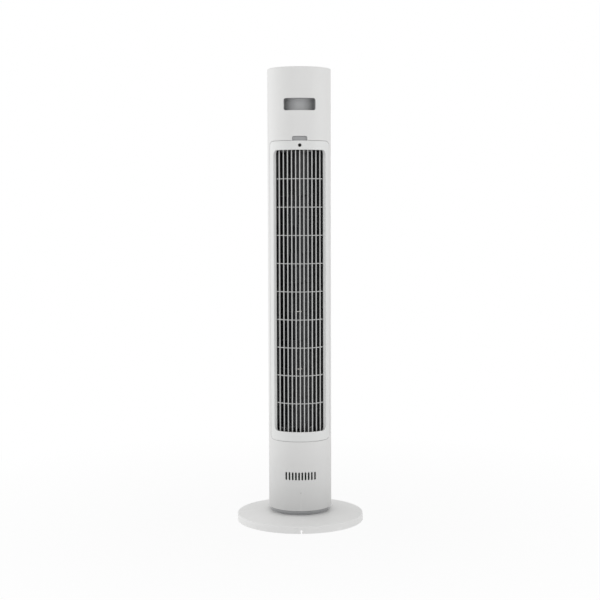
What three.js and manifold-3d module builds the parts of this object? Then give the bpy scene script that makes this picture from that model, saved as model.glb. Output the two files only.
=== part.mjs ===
// Round tower fan on a split disc base. Its rear, with the intake grille, faces -Y.
// Sizes are in millimetres, +Z is up and the origin is on the floor below the tower's axis.
import * as THREE from 'three';
import { mergeVertices } from 'three/addons/utils/BufferGeometryUtils.js';
import Module from 'manifold-3d';

// Whole fan
const totalHeight = 1106;
const towerRadius = 77;
const shellWall = 2.5;
const topEdgeRadius = 2.2;
const seatGap = 0.3;
const seamGap = 0.3;
const cutOverrun = 6;
const joinOverlap = 0.4;
const weldDistance = 0.0001;

// Disc base
const baseRadius = 155;
const footHeight = 2.5;
const baseRimHeight = 17.2;
const baseEdgeRadius = 2;
const baseDomeRise = 6.9;
const baseWall = 2.6;
const baseInnerRadius = 30;
const ribWall = 2;
const ribInnerRadius = 62;
const ribLift = 3;
const cableChannelHalfWidth = 9;
const cableChannelStart = 74;
const keyholeRadius = 3.5;
const keyholeRise = 5.6;
const keyholeSlotWidth = 3;
const footRadius = 8;
const footInset = 16;
const footPadMargin = 1.5;
const footCount = 6;
const firstFootAngle = THREE.MathUtils.degToRad(15);

// Hub of the base, its bearing ring, retainer, gland and screws
const hubInset = 2;
const hubRingHeight = 4.3;
const hubDeckThickness = 2.5;
const hubRingWall = 3;
const spigotRadius = 18;
const spigotBore = 12;
const spigotRise = 5;
const glideInnerShare = 0.17;
const glideOuterShare = 0.6;
const retainerWidth = 7.7;
const retainerThickness = 2.5;
const glandFlangeRadius = 16;
const glandFlangeThickness = 2.4;
const glandBore = 4;
const glandLength = 12;
const screwRingRadius = 50;
const screwHeadRadius = 4;
const screwHeadHeight = 2.2;
const screwShankRadius = 1.5;
const screwShankLength = 5.9;
const screwBossRadius = 4.5;
const baseScrewCount = 4;
const firstScrewAngle = THREE.MathUtils.degToRad(45);

// Turntable of the tower
const neckInset = 5;
const neckTierHeight = 6.5;
const turntableThickness = 3;
const turntableRingWall = 3;

// Swing gears and their motor. The gears' module is a share of the tower's radius.
const gearModuleShare = 1 / 61.6;
const sectorTeeth = 48;
const pinionTeeth = 12;
const sectorShownTeeth = 16;
const gearThickness = 5;
const sectorCollarShare = 0.2;
const gearBacklash = 0.1;
const toothRootShare = 0.31;
const toothTipShare = 0.12;
const rootDepthShare = 1.25;
const tipHeightShare = 0.9;
const spindleRadius = 2.5;
const spindleRise = 8;
const swingMotorHeight = 14.5;
const swingMotorMargin = 1.1;

// Rear cover with the intake grille
const coverHalfAngle = THREE.MathUtils.degToRad(69);
const coverTopDrop = 174.5;
const coverBottomRise = 169.7;
const coverCornerRadius = 10;
const openingHalfAngle = THREE.MathUtils.degToRad(54);
const coverTopBorder = 22.5;
const coverBottomBorder = 23.6;
const grilleRecess = 7.5;
const finDepth = 8.5;
const finThickness = 2.6;
const finPitch = 9.71;
const barThickness = 2;
const barInset = 1;
const barCount = 9;
const trayWall = 2;
const sideWallDepth = 5.2;
const coverScrewDrop = 11.1;
const coverScrewBore = 3.75;
const coverScrewCupWall = 1.65;
const coverScrewDepth = 7.7;
const coverScrewHeadRadius = 3.3;
const coverScrewHeadHeight = 1.9;
const coverScrewLength = 11;
const cupFloor = 1.7;

// Hand grip, pry notch and motor vents in the rear shell
const gripTopDrop = 74.2;
const gripWidth = 75.5;
const gripHeight = 28.9;
const gripCornerRadius = 5.5;
const gripDepth = 34;
const gripWall = 1.8;
const notchWidth = 36.5;
const notchHeight = 10.5;
const notchCornerRadius = 4;
const notchDepth = 9;
const notchWall = 1.6;
const ventRise = 75.5;
const ventHeight = 19.6;
const ventWidth = 4.2;
const ventPitch = 7.8;
const ventCount = 10;

// Front outlet grille
const frontHalfAngle = THREE.MathUtils.degToRad(52);
const frontWindowHalfAngle = THREE.MathUtils.degToRad(47);
const frontBorder = 10;
const vanePitch = 11;
const frontBarCount = 4;
const vaneThickness = 2;
const vaneDepth = 5;
const vaneInset = 1;
const vaneLip = 1.2;

// Air duct around the wheel
const wheelX = -8;
const wheelY = 0;
const wheelMargin = 13;
const ductWall = 2;
const bulkheadWall = 2.5;
const scrollStartGap = 4.5;
const scrollEndInset = 6;
const scrollStartAngle = THREE.MathUtils.degToRad(-25);
const scrollEndAngle = THREE.MathUtils.degToRad(44);
const tongueGap = 6.5;
const tongueHalfAngle = THREE.MathUtils.degToRad(15);
const guideInset = 4.5;
const guideAngle = THREE.MathUtils.degToRad(62);
const tongueOutletInset = 7;
const tongueOutletAngle = THREE.MathUtils.degToRad(43);
const shaftHoleRadius = 12;

// Cross-flow wheel. Its top segment is longer than the others, by a share of their pitch.
const segmentCount = 9;
const topSegmentShare = 1.49;
const wheelBottomClearance = 7.3;
const wheelTopClearance = 4;
const bladeCount = 10;
const bladeThickness = 1.4;
const bladeDepth = 9;
const bladeTilt = THREE.MathUtils.degToRad(28);
const discThickness = 2;
const discWidth = 12;
const endPlateThickness = 3;
const hubBossRadius = 9;
const hubBossLength = 5;
const shaftRadius = 4;
const clipWidth = 10.5;
const clipHeight = 5;
const clipThickness = 1.2;
const clipTurn = THREE.MathUtils.degToRad(7);
const clipSegments = [2, 4];

// Upper bearing
const bearingCupRadius = 16;
const bearingCupDrop = 1;
const rubberRadius = 11.7;
const rubberBore = 7.3;
const rubberHeight = 14;
const bushRadius = 7;
const bushHeight = 12;

// Fan motor
const statorRadius = 36;
const statorBore = 21;
const statorHeight = 24;
const statorDrop = 58;
const rotorRadius = 20.4;
const bellHeight = 13;
const bellNoseRadius = 14;
const bellWall = 2;
const bracketMargin = 14.2;
const bracketWall = 2;
const bracketGrip = 8;
const bracketDrop = 4.5;

// Electric parts
const capacitorWidth = 20;
const capacitorHeight = 30;
const capacitorDepth = 12;
const boardThickness = 1.6;
const powerBoardWidth = 56;
const powerBoardHeight = 60;
const powerBoardOffset = 40;
const lugLength = 10;
const lugHeight = 8;
const transformerWidth = 24;
const transformerHeight = 20;
const transformerDepth = 16;
const transformerRise = 12;
const loomRadius = 2.2;
const loomInset = 8.7;
const loomAngle = THREE.MathUtils.degToRad(164);
const loomHoleRadius = 3.4;
const loomBend = 45;

// Top cap, its buttons and its display
const capThickness = 3;
const capRecess = 1.5;
const buttonRadius = 6.7;
const buttonPitch = 22;
const buttonOffset = 18;
const buttonProud = 0.8;
const buttonFlangeMargin = 1.8;
const buttonFlangeThickness = 1.8;
const buttonTravel = 0.8;
const buttonNames = ['button_power', 'button_speed', 'button_timer', 'button_swing'];
const displayWidth = 44;
const displayDepth = 13;
const displayThickness = 1.2;
const displayInset = 28.2;
const displayCornerRadius = 3;
const postRadius = 2.6;
const postHeight = 8.6;
const controlBoardSideMargin = 9;
const controlBoardStart = 4;
const controlBoardMargin = 5.8;
const postInset = 4;
const switchSize = 6;

// Facets. An arc of an outline gets twice its number of steps.
const towerFacets = 48;
const neckFacets = 28;
const motorFacets = 16;
const wheelFacets = 14;
const smallFacets = 14;
const screwFacets = 8;
const edgeSteps = 2;
const domeSteps = 2;
const cornerSteps = 2;
const slotSteps = 2;
const spiralSteps = 8;
const barSteps = 3;
const loomSteps = 20;
const loomSides = 3;

// Levels and radii worked out from the sizes above
const rimTop = footHeight + baseRimHeight;
const deckTop = rimTop + baseDomeRise;
const deckBottom = deckTop - baseWall;
const hubBottom = deckTop + seatGap;
const hubTop = hubBottom + hubRingHeight;
const neckBottom = hubTop + seatGap;
const neckRadius = towerRadius - neckInset;
const hubRingRadius = neckRadius - hubInset;
const footRingRadius = baseRadius - footInset;
const towerBottom = neckBottom + neckTierHeight;
const turntableBottom = towerBottom + seatGap;
const turntableTop = turntableBottom + turntableThickness;
const floorLevel = turntableTop + seatGap;
const shellInnerRadius = towerRadius - shellWall;
const insideRadius = shellInnerRadius - seatGap;
const coverTop = totalHeight - coverTopDrop;
const coverBottom = towerBottom + coverBottomRise;
const openingTop = coverTop - coverTopBorder;
const openingBottom = coverBottom + coverBottomBorder;
const openingHeight = openingTop - openingBottom;
const grilleFaceRadius = towerRadius - grilleRecess;
const grilleBackRadius = grilleFaceRadius - finDepth;
const recessHalfWidth = grilleFaceRadius * Math.sin(openingHalfAngle);
const sideWallStart = -grilleFaceRadius * Math.cos(openingHalfAngle);
const sideWallEnd = sideWallStart + sideWallDepth;
const finCount = 1 + 2 * Math.floor((recessHalfWidth - finThickness) / finPitch);
const vaneOuterRadius = towerRadius - vaneInset;
const vaneInnerRadius = vaneOuterRadius - vaneDepth;
const vaneCount = 1 + 2 * Math.floor(vaneInnerRadius * Math.sin(frontWindowHalfAngle) / vanePitch);
const upperBulkheadBottom = openingTop + trayWall + seatGap;
const upperBulkheadTop = upperBulkheadBottom + bulkheadWall;
const lowerBulkheadTop = openingBottom - trayWall - seatGap;
const lowerBulkheadBottom = lowerBulkheadTop - bulkheadWall;
const wheelBottom = openingBottom + wheelBottomClearance;
const wheelTop = openingTop - wheelTopClearance;
const wheelRadius = grilleBackRadius + wheelX - wheelMargin;
const bladeInnerRadius = wheelRadius - bladeDepth;
const discInnerRadius = wheelRadius - discWidth;
const segmentPitch = (wheelTop - wheelBottom) / (segmentCount - 1 + topSegmentShare);
const bearingCupBottom = upperBulkheadBottom - bearingCupDrop;
const bracketFlangeRadius = insideRadius + wheelX - bracketMargin;
const gearBottom = hubTop + seatGap;
const gearModule = gearModuleShare * towerRadius;
const sectorPitchRadius = gearModule * sectorTeeth / 2;
const pinionPitchRadius = gearModule * pinionTeeth / 2;
const pinionDistance = sectorPitchRadius + pinionPitchRadius + gearBacklash;
const gearReach = pinionDistance + pinionPitchRadius + tipHeightShare * gearModule;
const glideRoom = neckRadius - turntableRingWall - gearReach;
const retainerRadius = spigotRadius + seatGap + retainerWidth;
const swingMotorX = (insideRadius + retainerRadius) / 2;
const swingMotorRadius = (insideRadius - retainerRadius) / 2 - swingMotorMargin;
const loomSpot = polar(insideRadius - loomInset, loomAngle);
const capTop = totalHeight - capRecess;
const capBottom = capTop - capThickness;
const displayOffset = insideRadius - displayInset;
const controlBoardWidth = (buttonNames.length - 1) * buttonPitch + 2 * controlBoardSideMargin;
const controlBoardTop = capBottom - postHeight - seatGap;
const controlBoardEnd = edgeDepth(insideRadius - controlBoardMargin, controlBoardWidth / 2);
const gripTop = totalHeight - gripTopDrop;
const coverScrewZ = coverTop - coverScrewDrop;
const cupFloorY = -(towerRadius - coverScrewDepth);
const statorTop = lowerBulkheadBottom - statorDrop + statorHeight;
const statorBottom = lowerBulkheadBottom - statorDrop;

const wasm = await Module();
wasm.setup();

// Turns a closed geometry into a solid that can be cut and joined.
function solidFrom(geometry) {
  geometry.deleteAttribute('normal');
  geometry.deleteAttribute('uv');
  const welded = mergeVertices(geometry, weldDistance);
  const corners = welded.index.array;
  const kept = [];
  for (let i = 0; i < corners.length; i += 3) {
    const [a, b, c] = corners.slice(i, i + 3);
    if (a !== b && b !== c && c !== a) {
      kept.push(a, b, c);
    }
  }
  const vertProperties = welded.attributes.position.array;
  const triVerts = new Uint32Array(kept);
  return new wasm.Manifold(new wasm.Mesh({ numProp: 3, vertProperties, triVerts }));
}

function geometryFrom(solid) {
  const cut = solid.getMesh();
  const geometry = new THREE.BufferGeometry();
  geometry.setAttribute('position', new THREE.BufferAttribute(new Float32Array(cut.vertProperties), 3));
  geometry.setIndex(new THREE.BufferAttribute(new Uint32Array(cut.triVerts), 1));
  geometry.computeVertexNormals();
  return geometry;
}

// Solid of revolution about Z. The outline is a closed loop of [radius, height] pairs.
function revolved(outline, facets = towerFacets) {
  const loop = [...outline, outline[0]];
  const points = loop.map(([radius, height]) => new THREE.Vector2(radius, height));
  const geometry = new THREE.LatheGeometry(points, facets);
  geometry.rotateX(Math.PI / 2);
  return solidFrom(geometry);
}

function ring(inner, outer, low, high, facets = towerFacets) {
  return revolved([[inner, low], [outer, low], [outer, high], [inner, high]], facets);
}

function discAt(x, y, radius, low, high, facets = smallFacets) {
  const geometry = new THREE.CylinderGeometry(radius, radius, high - low, facets);
  geometry.rotateX(Math.PI / 2);
  geometry.translate(x, y, (low + high) / 2);
  return solidFrom(geometry);
}

function disc(radius, low, high, facets = towerFacets) {
  return discAt(0, 0, radius, low, high, facets);
}

// Round bar along Y, between two depths.
function barAlongY(x, z, radius, near, far, facets = smallFacets) {
  const geometry = new THREE.CylinderGeometry(radius, radius, far - near, facets);
  geometry.translate(x, (near + far) / 2, z);
  return solidFrom(geometry);
}

function block(x, y, z) {
  const geometry = new THREE.BoxGeometry(x[1] - x[0], y[1] - y[0], z[1] - z[0]);
  geometry.translate((x[0] + x[1]) / 2, (y[0] + y[1]) / 2, (z[0] + z[1]) / 2);
  return solidFrom(geometry);
}

// Wall that runs outward from the axis at an angle, like a rib.
function radialBlock(angle, start, end, width, low, high) {
  const geometry = new THREE.BoxGeometry(end - start, width, high - low);
  geometry.translate((start + end) / 2, 0, (low + high) / 2);
  geometry.rotateZ(angle);
  return solidFrom(geometry);
}

function upright(shape, low, high, curveSegments = cornerSteps) {
  const depth = high - low;
  const geometry = new THREE.ExtrudeGeometry(shape, { depth, bevelEnabled: false, curveSegments });
  geometry.translate(0, 0, low);
  return solidFrom(geometry);
}

// Prism along Y of an outline drawn in X and Z, as seen from behind the fan.
function throughY(shape, near, far, curveSegments = cornerSteps) {
  const depth = far - near;
  const geometry = new THREE.ExtrudeGeometry(shape, { depth, bevelEnabled: false, curveSegments });
  geometry.rotateX(Math.PI / 2);
  geometry.translate(0, far, 0);
  return solidFrom(geometry);
}

function roundedRectangle(x, y, width, height, radius) {
  const left = x - width / 2;
  const right = x + width / 2;
  const low = y - height / 2;
  const high = y + height / 2;
  const shape = new THREE.Shape();
  shape.absarc(right - radius, low + radius, radius, -Math.PI / 2, 0);
  shape.absarc(right - radius, high - radius, radius, 0, Math.PI / 2);
  shape.absarc(left + radius, high - radius, radius, Math.PI / 2, Math.PI);
  shape.absarc(left + radius, low + radius, radius, Math.PI, Math.PI * 1.5);
  shape.closePath();
  return shape;
}

// Wedge that opens from the axis towards one side: side -1 is the rear, +1 the front.
function wedge(halfAngle, side, low, high) {
  const reach = 2 * towerRadius;
  const across = reach * Math.sin(halfAngle);
  const along = side * reach * Math.cos(halfAngle);
  const shape = new THREE.Shape();
  shape.moveTo(0, 0);
  shape.lineTo(-across, along);
  shape.lineTo(-across, side * reach);
  shape.lineTo(across, side * reach);
  shape.lineTo(across, along);
  shape.closePath();
  return upright(shape, low, high);
}

// Curved strip between two radii on one side of the tower, with few facets.
function arcStrip(inner, outer, halfAngle, side, low, high) {
  const middle = side * Math.PI / 2;
  const shape = new THREE.Shape();
  shape.absarc(0, 0, outer, middle - halfAngle, middle + halfAngle);
  shape.absarc(0, 0, inner, middle + halfAngle, middle - halfAngle, true);
  shape.closePath();
  return upright(shape, low, high, barSteps);
}

// Sheet of one thickness along a line of points, seen from above.
function sheetAlong(points, low, high) {
  const outward = [];
  const inward = [];
  points.forEach((point, i) => {
    const before = points[Math.max(i - 1, 0)];
    const after = points[Math.min(i + 1, points.length - 1)];
    const along = after.clone().sub(before).normalize();
    const across = new THREE.Vector2(-along.y, along.x).multiplyScalar(ductWall / 2);
    outward.push(point.clone().add(across));
    inward.unshift(point.clone().sub(across));
  });
  return upright(new THREE.Shape([...outward, ...inward]), low, high);
}

function halfSpace(side) {
  const reach = 2 * totalHeight;
  const edge = side * seamGap / 2;
  const y = side < 0 ? [-reach, edge] : [edge, reach];
  return block([-reach, reach], y, [-reach, reach]);
}

function polar(radius, angle) {
  return new THREE.Vector2(radius * Math.cos(angle), radius * Math.sin(angle));
}

// Depth of a circle's edge at a distance from the middle.
function edgeDepth(radius, x) {
  return Math.sqrt(radius * radius - x * x);
}

function anglesAround(count, first) {
  return Array.from({ length: count }, (unused, i) => first + i / count * 2 * Math.PI);
}

// Top line of the base from its rim's rounded edge up the dome to the flat deck.
function baseTopLine() {
  const line = [];
  const outer = baseRadius - baseEdgeRadius;
  for (let i = 0; i <= edgeSteps; i += 1) {
    const turn = i / edgeSteps * Math.PI / 2;
    const rise = rimTop - baseEdgeRadius + baseEdgeRadius * Math.sin(turn);
    line.push([outer + baseEdgeRadius * Math.cos(turn), rise]);
  }
  for (let i = 1; i <= domeSteps; i += 1) {
    const share = i / domeSteps;
    const rise = baseDomeRise * Math.sin(share * Math.PI / 2);
    line.push([outer + (neckRadius - outer) * share, rimTop + rise]);
  }
  return line;
}

function baseEnvelope() {
  return revolved([[baseInnerRadius, footHeight], [baseRadius, footHeight],
    ...baseTopLine(), [baseInnerRadius, deckTop]]);
}

function baseHollow() {
  return revolved([[baseInnerRadius - cutOverrun, footHeight - cutOverrun],
    [baseRadius - baseWall, footHeight - cutOverrun], [baseRadius - baseWall, rimTop - baseWall],
    [neckRadius, deckBottom], [baseInnerRadius - cutOverrun, deckBottom]]);
}

function footAngles() {
  return anglesAround(footCount, firstFootAngle);
}

function screwAngles() {
  return anglesAround(baseScrewCount, firstScrewAngle);
}

function baseRibs() {
  const low = footHeight + ribLift;
  const angles = anglesAround(footCount, firstFootAngle + Math.PI / footCount);
  const ribs = angles.map((angle) => radialBlock(angle, ribInnerRadius, baseRadius, ribWall, low, deckTop));
  for (const side of [-1, 1]) {
    const middle = side * (cableChannelHalfWidth + ribWall / 2);
    const x = [middle - ribWall / 2, middle + ribWall / 2];
    ribs.push(block(x, [-baseRadius, -cableChannelStart], [low, deckTop]));
  }
  return ribs;
}

function baseHalf(side) {
  const envelope = baseEnvelope();
  let half = envelope.subtract(baseHollow());
  for (const rib of baseRibs()) {
    half = half.add(rib.intersect(envelope));
  }
  for (const angle of footAngles()) {
    const spot = polar(footRingRadius, angle);
    const pad = discAt(spot.x, spot.y, footRadius + footPadMargin, footHeight + seatGap, deckTop);
    half = half.add(pad.intersect(envelope));
  }
  for (const angle of screwAngles()) {
    const spot = polar(screwRingRadius, angle);
    const hole = screwShankRadius + 2 * seatGap;
    half = half.subtract(discAt(spot.x, spot.y, hole, footHeight, deckTop + cutOverrun, screwFacets));
  }
  return half.intersect(halfSpace(side));
}

// Round hole with a slot below it in the rear rim, where a cord leaves the base.
function keyhole() {
  const centre = footHeight + keyholeRise;
  const far = -(baseRadius - baseWall - seatGap);
  const head = barAlongY(0, centre, keyholeRadius, -(baseRadius + cutOverrun), far, smallFacets);
  const slotX = [-keyholeSlotWidth / 2, keyholeSlotWidth / 2];
  return head.add(block(slotX, [-(baseRadius + cutOverrun), far], [footHeight - cutOverrun, centre]));
}

function baseHub() {
  const deck = hubTop - hubDeckThickness;
  const ringInner = hubRingRadius - hubRingWall;
  const spigotTop = turntableTop + spigotRise;
  let hub = revolved([[spigotBore, deck], [ringInner, deck], [ringInner, hubBottom],
    [hubRingRadius, hubBottom], [hubRingRadius, hubTop], [spigotRadius, hubTop],
    [spigotRadius, spigotTop], [spigotBore, spigotTop]], neckFacets);
  for (const angle of screwAngles()) {
    const spot = polar(screwRingRadius, angle);
    hub = hub.add(discAt(spot.x, spot.y, screwBossRadius, hubBottom, deck + joinOverlap, screwFacets));
    const hole = screwShankRadius + seatGap;
    const holeTop = deckBottom + screwShankLength + seatGap;
    hub = hub.subtract(discAt(spot.x, spot.y, hole, hubBottom - cutOverrun, holeTop, screwFacets));
  }
  return hub;
}

function baseScrew() {
  const head = disc(screwHeadRadius, -screwHeadHeight, 0, screwFacets);
  return head.add(disc(screwShankRadius, -joinOverlap, screwShankLength, screwFacets));
}

function cordGland() {
  const top = hubTop - hubDeckThickness - seatGap;
  const flange = disc(glandFlangeRadius, top - glandFlangeThickness, top, neckFacets);
  const body = disc(spigotBore - seatGap, top - joinOverlap, top + glandLength, neckFacets);
  const bore = disc(glandBore, top - cutOverrun, top + glandLength + cutOverrun, smallFacets);
  return flange.add(body).subtract(bore);
}

// Simple straight-flanked teeth from a first to a last tooth, as points round the gear.
function toothPoints(teeth, first, last, phase) {
  const pitchRadius = gearModule * teeth / 2;
  const root = pitchRadius - rootDepthShare * gearModule;
  const tip = pitchRadius + tipHeightShare * gearModule;
  const step = 2 * Math.PI / teeth;
  const points = [];
  for (let i = first; i <= last; i += 1) {
    const middle = phase + i * step;
    points.push(polar(root, middle - toothRootShare * step));
    points.push(polar(tip, middle - toothTipShare * step));
    points.push(polar(tip, middle + toothTipShare * step));
    points.push(polar(root, middle + toothRootShare * step));
  }
  return points;
}

function swingSector() {
  const bore = spigotRadius + seatGap;
  const collar = bore + sectorCollarShare * sectorPitchRadius;
  const step = 2 * Math.PI / sectorTeeth;
  const half = sectorShownTeeth / 2;
  const teeth = toothPoints(sectorTeeth, -half, half - 1, step / 2);
  const web = [polar(collar - joinOverlap, half * step), polar(collar - joinOverlap, -half * step)];
  const high = gearBottom + gearThickness;
  const sector = upright(new THREE.Shape([...teeth, ...web]), gearBottom, high);
  return sector.add(ring(bore, collar, gearBottom, high, neckFacets))
    .subtract(disc(bore, gearBottom - cutOverrun, high + cutOverrun, neckFacets));
}

// Built round its own axis and placed by its mesh.
function swingPinion() {
  const teeth = toothPoints(pinionTeeth, 0, pinionTeeth - 1, Math.PI);
  const gear = upright(new THREE.Shape(teeth), gearBottom, gearBottom + gearThickness);
  return gear.add(disc(spindleRadius, gearBottom, floorLevel + spindleRise, screwFacets));
}

function turntable() {
  const bore = spigotRadius + seatGap;
  const ringInner = neckRadius - turntableRingWall;
  let table = revolved([[bore, turntableBottom], [ringInner, turntableBottom], [ringInner, neckBottom],
    [neckRadius, neckBottom], [neckRadius, turntableBottom], [insideRadius, turntableBottom],
    [insideRadius, turntableTop], [bore, turntableTop]], neckFacets);
  const hole = spindleRadius + seatGap;
  const holeTop = turntableTop + cutOverrun;
  table = table.subtract(discAt(pinionDistance, 0, hole, neckBottom, holeTop, screwFacets));
  const lugGap = boardThickness / 2 + seatGap;
  for (const side of [-1, 1]) {
    const near = powerBoardOffset + side * lugGap;
    const y = side < 0 ? [near - ribWall, near] : [near, near + ribWall];
    const z = [turntableTop - joinOverlap, turntableTop + lugHeight];
    table = table.add(block([-lugLength / 2, lugLength / 2], y, z));
  }
  return table;
}

function swingRetainer() {
  const bore = spigotRadius + seatGap;
  return ring(bore, retainerRadius, floorLevel, floorLevel + retainerThickness, neckFacets);
}

function glideRing() {
  const inner = gearReach + glideInnerShare * glideRoom;
  const outer = gearReach + glideOuterShare * glideRoom;
  return ring(inner, outer, neckBottom, turntableBottom - seatGap, neckFacets);
}

// Motor that turns the pinion, seated between the retainer and the shell.
function swingMotor() {
  const can = discAt(swingMotorX, 0, swingMotorRadius, floorLevel, floorLevel + swingMotorHeight);
  const hole = spindleRadius + seatGap;
  const holeTop = floorLevel + spindleRise + seatGap;
  return can.subtract(discAt(pinionDistance, 0, hole, floorLevel - cutOverrun, holeTop, screwFacets));
}

function towerSkin() {
  const outline = [[shellInnerRadius, towerBottom], [towerRadius, towerBottom]];
  for (let i = 0; i <= edgeSteps; i += 1) {
    const turn = i / edgeSteps * Math.PI / 2;
    const out = towerRadius - topEdgeRadius + topEdgeRadius * Math.cos(turn);
    outline.push([out, totalHeight - topEdgeRadius + topEdgeRadius * Math.sin(turn)]);
  }
  outline.push([shellInnerRadius, totalHeight]);
  return revolved(outline);
}

function gripOutline(margin) {
  const middle = gripTop - gripHeight / 2;
  const radius = gripCornerRadius + margin;
  return roundedRectangle(0, middle, gripWidth + 2 * margin, gripHeight + 2 * margin, radius);
}

function notchOutline(margin, low) {
  const right = notchWidth / 2 + margin;
  const top = coverTop + notchHeight + margin;
  const radius = notchCornerRadius + margin;
  const shape = new THREE.Shape();
  shape.moveTo(-right, low);
  shape.lineTo(right, low);
  shape.absarc(right - radius, top - radius, radius, 0, Math.PI / 2);
  shape.absarc(radius - right, top - radius, radius, Math.PI / 2, Math.PI);
  shape.closePath();
  return shape;
}

function ventSlots() {
  const slots = [];
  for (let i = 0; i < ventCount; i += 1) {
    const x = (i - (ventCount - 1) / 2) * ventPitch;
    const middle = towerBottom + ventRise + ventHeight / 2;
    const end = ventHeight / 2 - ventWidth / 2;
    const shape = new THREE.Shape();
    shape.absarc(x, middle + end, ventWidth / 2, 0, Math.PI);
    shape.absarc(x, middle - end, ventWidth / 2, Math.PI, 2 * Math.PI);
    shape.closePath();
    slots.push(throughY(shape, -(towerRadius + cutOverrun), -towerRadius / 2, slotSteps));
  }
  return slots;
}

// Area that the rear cover takes up, with its rounded corners and a margin all round.
function coverArea(margin) {
  const halfWidth = towerRadius * Math.sin(coverHalfAngle) + margin;
  const middle = (coverTop + coverBottom) / 2;
  const height = coverTop - coverBottom + 2 * margin;
  const outline = roundedRectangle(0, middle, 2 * halfWidth, height, coverCornerRadius + margin);
  const angle = coverHalfAngle + margin / towerRadius;
  return wedge(angle, -1, middle - height / 2, middle + height / 2)
    .intersect(throughY(outline, -(towerRadius + cutOverrun), 0));
}

function rearShell() {
  let shell = towerSkin().intersect(halfSpace(-1));
  shell = shell.subtract(coverArea(seatGap));
  shell = shell.subtract(throughY(gripOutline(0), -(towerRadius + cutOverrun), -towerRadius / 2));
  const floorFace = -(towerRadius - notchDepth);
  const tubBack = floorFace + notchWall;
  const tubLow = coverTop + seatGap;
  shell = shell.add(throughY(notchOutline(notchWall, tubLow), -shellInnerRadius, tubBack));
  const low = coverTop - cutOverrun;
  shell = shell.subtract(throughY(notchOutline(0, low), -(towerRadius + cutOverrun), floorFace));
  for (const slot of ventSlots()) {
    shell = shell.subtract(slot);
  }
  return shell;
}

function frontShell() {
  const shell = towerSkin().intersect(halfSpace(1));
  const angle = frontHalfAngle + seatGap / towerRadius;
  const low = openingBottom - frontBorder - seatGap;
  const high = openingTop + frontBorder + seatGap;
  return shell.subtract(wedge(angle, 1, low, high));
}

function handlePocket() {
  const back = -(towerRadius - gripDepth);
  const outside = throughY(gripOutline(gripWall), -towerRadius, back + gripWall);
  const inside = throughY(gripOutline(0), -(towerRadius + cutOverrun), back);
  const limit = disc(insideRadius, gripTop - 2 * gripHeight, totalHeight);
  return outside.subtract(inside).intersect(limit);
}

function rearGrille() {
  let cover = ring(shellInnerRadius, towerRadius, coverBottom, coverTop).intersect(coverArea(0));
  const wallAngle = openingHalfAngle + trayWall / grilleFaceRadius;
  const trayLow = openingBottom - trayWall;
  const trayHigh = openingTop + trayWall;
  const tray = ring(grilleBackRadius, shellInnerRadius + joinOverlap, trayLow, trayHigh);
  cover = cover.add(tray.intersect(wedge(wallAngle, -1, trayLow - cutOverrun, trayHigh + cutOverrun)));
  for (const side of [-1, 1]) {
    const middle = side * (recessHalfWidth + trayWall / 2);
    const x = [middle - trayWall / 2, middle + trayWall / 2];
    cover = cover.add(block(x, [sideWallStart - joinOverlap, sideWallEnd], [trayLow, trayHigh]));
  }
  cover = cover.subtract(wedge(openingHalfAngle, -1, openingBottom, openingTop));
  const openWidth = [-recessHalfWidth, recessHalfWidth];
  cover = cover.subtract(block(openWidth, [-towerRadius, 0], [openingBottom, openingTop]));
  const barGap = openingHeight / (barCount + 1);
  const latticeEnd = sideWallEnd - joinOverlap;
  let lattice = null;
  for (let i = 0; i < finCount; i += 1) {
    const x = (i - (finCount - 1) / 2) * finPitch;
    const y = [-edgeDepth(grilleFaceRadius, x), Math.min(-edgeDepth(grilleBackRadius, x), latticeEnd)];
    const z = [openingBottom - trayWall / 2, openingTop + trayWall / 2];
    const fin = block([x - finThickness / 2, x + finThickness / 2], y, z);
    lattice = lattice ? lattice.add(fin) : fin;
  }
  const outer = grilleFaceRadius - barInset;
  const inner = grilleBackRadius + barInset;
  const reach = Math.asin((recessHalfWidth + trayWall / 2) / outer);
  for (let i = 1; i <= barCount; i += 1) {
    const z = openingBottom + i * barGap;
    const levels = [z - barThickness / 2, z + barThickness / 2];
    const limit = block([-towerRadius, towerRadius], [-towerRadius, latticeEnd], levels);
    lattice = lattice.add(arcStrip(inner, outer, reach, -1, ...levels).intersect(limit));
  }
  const cupRadius = coverScrewBore + coverScrewCupWall;
  const cup = barAlongY(0, coverScrewZ, cupRadius, -shellInnerRadius - joinOverlap, cupFloorY + cupFloor);
  const bore = barAlongY(0, coverScrewZ, coverScrewBore, -(towerRadius + cutOverrun), cupFloorY);
  const shank = screwShankRadius + seatGap;
  const hole = barAlongY(0, coverScrewZ, shank, cupFloorY - cutOverrun, cupFloorY + cutOverrun, screwFacets);
  return cover.add(lattice).add(cup).subtract(bore).subtract(hole);
}

function coverScrew() {
  const head = cupFloorY - seatGap;
  const top = head - coverScrewHeadHeight;
  const cap = barAlongY(0, coverScrewZ, coverScrewHeadRadius, top, head, screwFacets);
  const end = head + coverScrewLength;
  return cap.add(barAlongY(0, coverScrewZ, screwShankRadius, head - joinOverlap, end, screwFacets));
}

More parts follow.
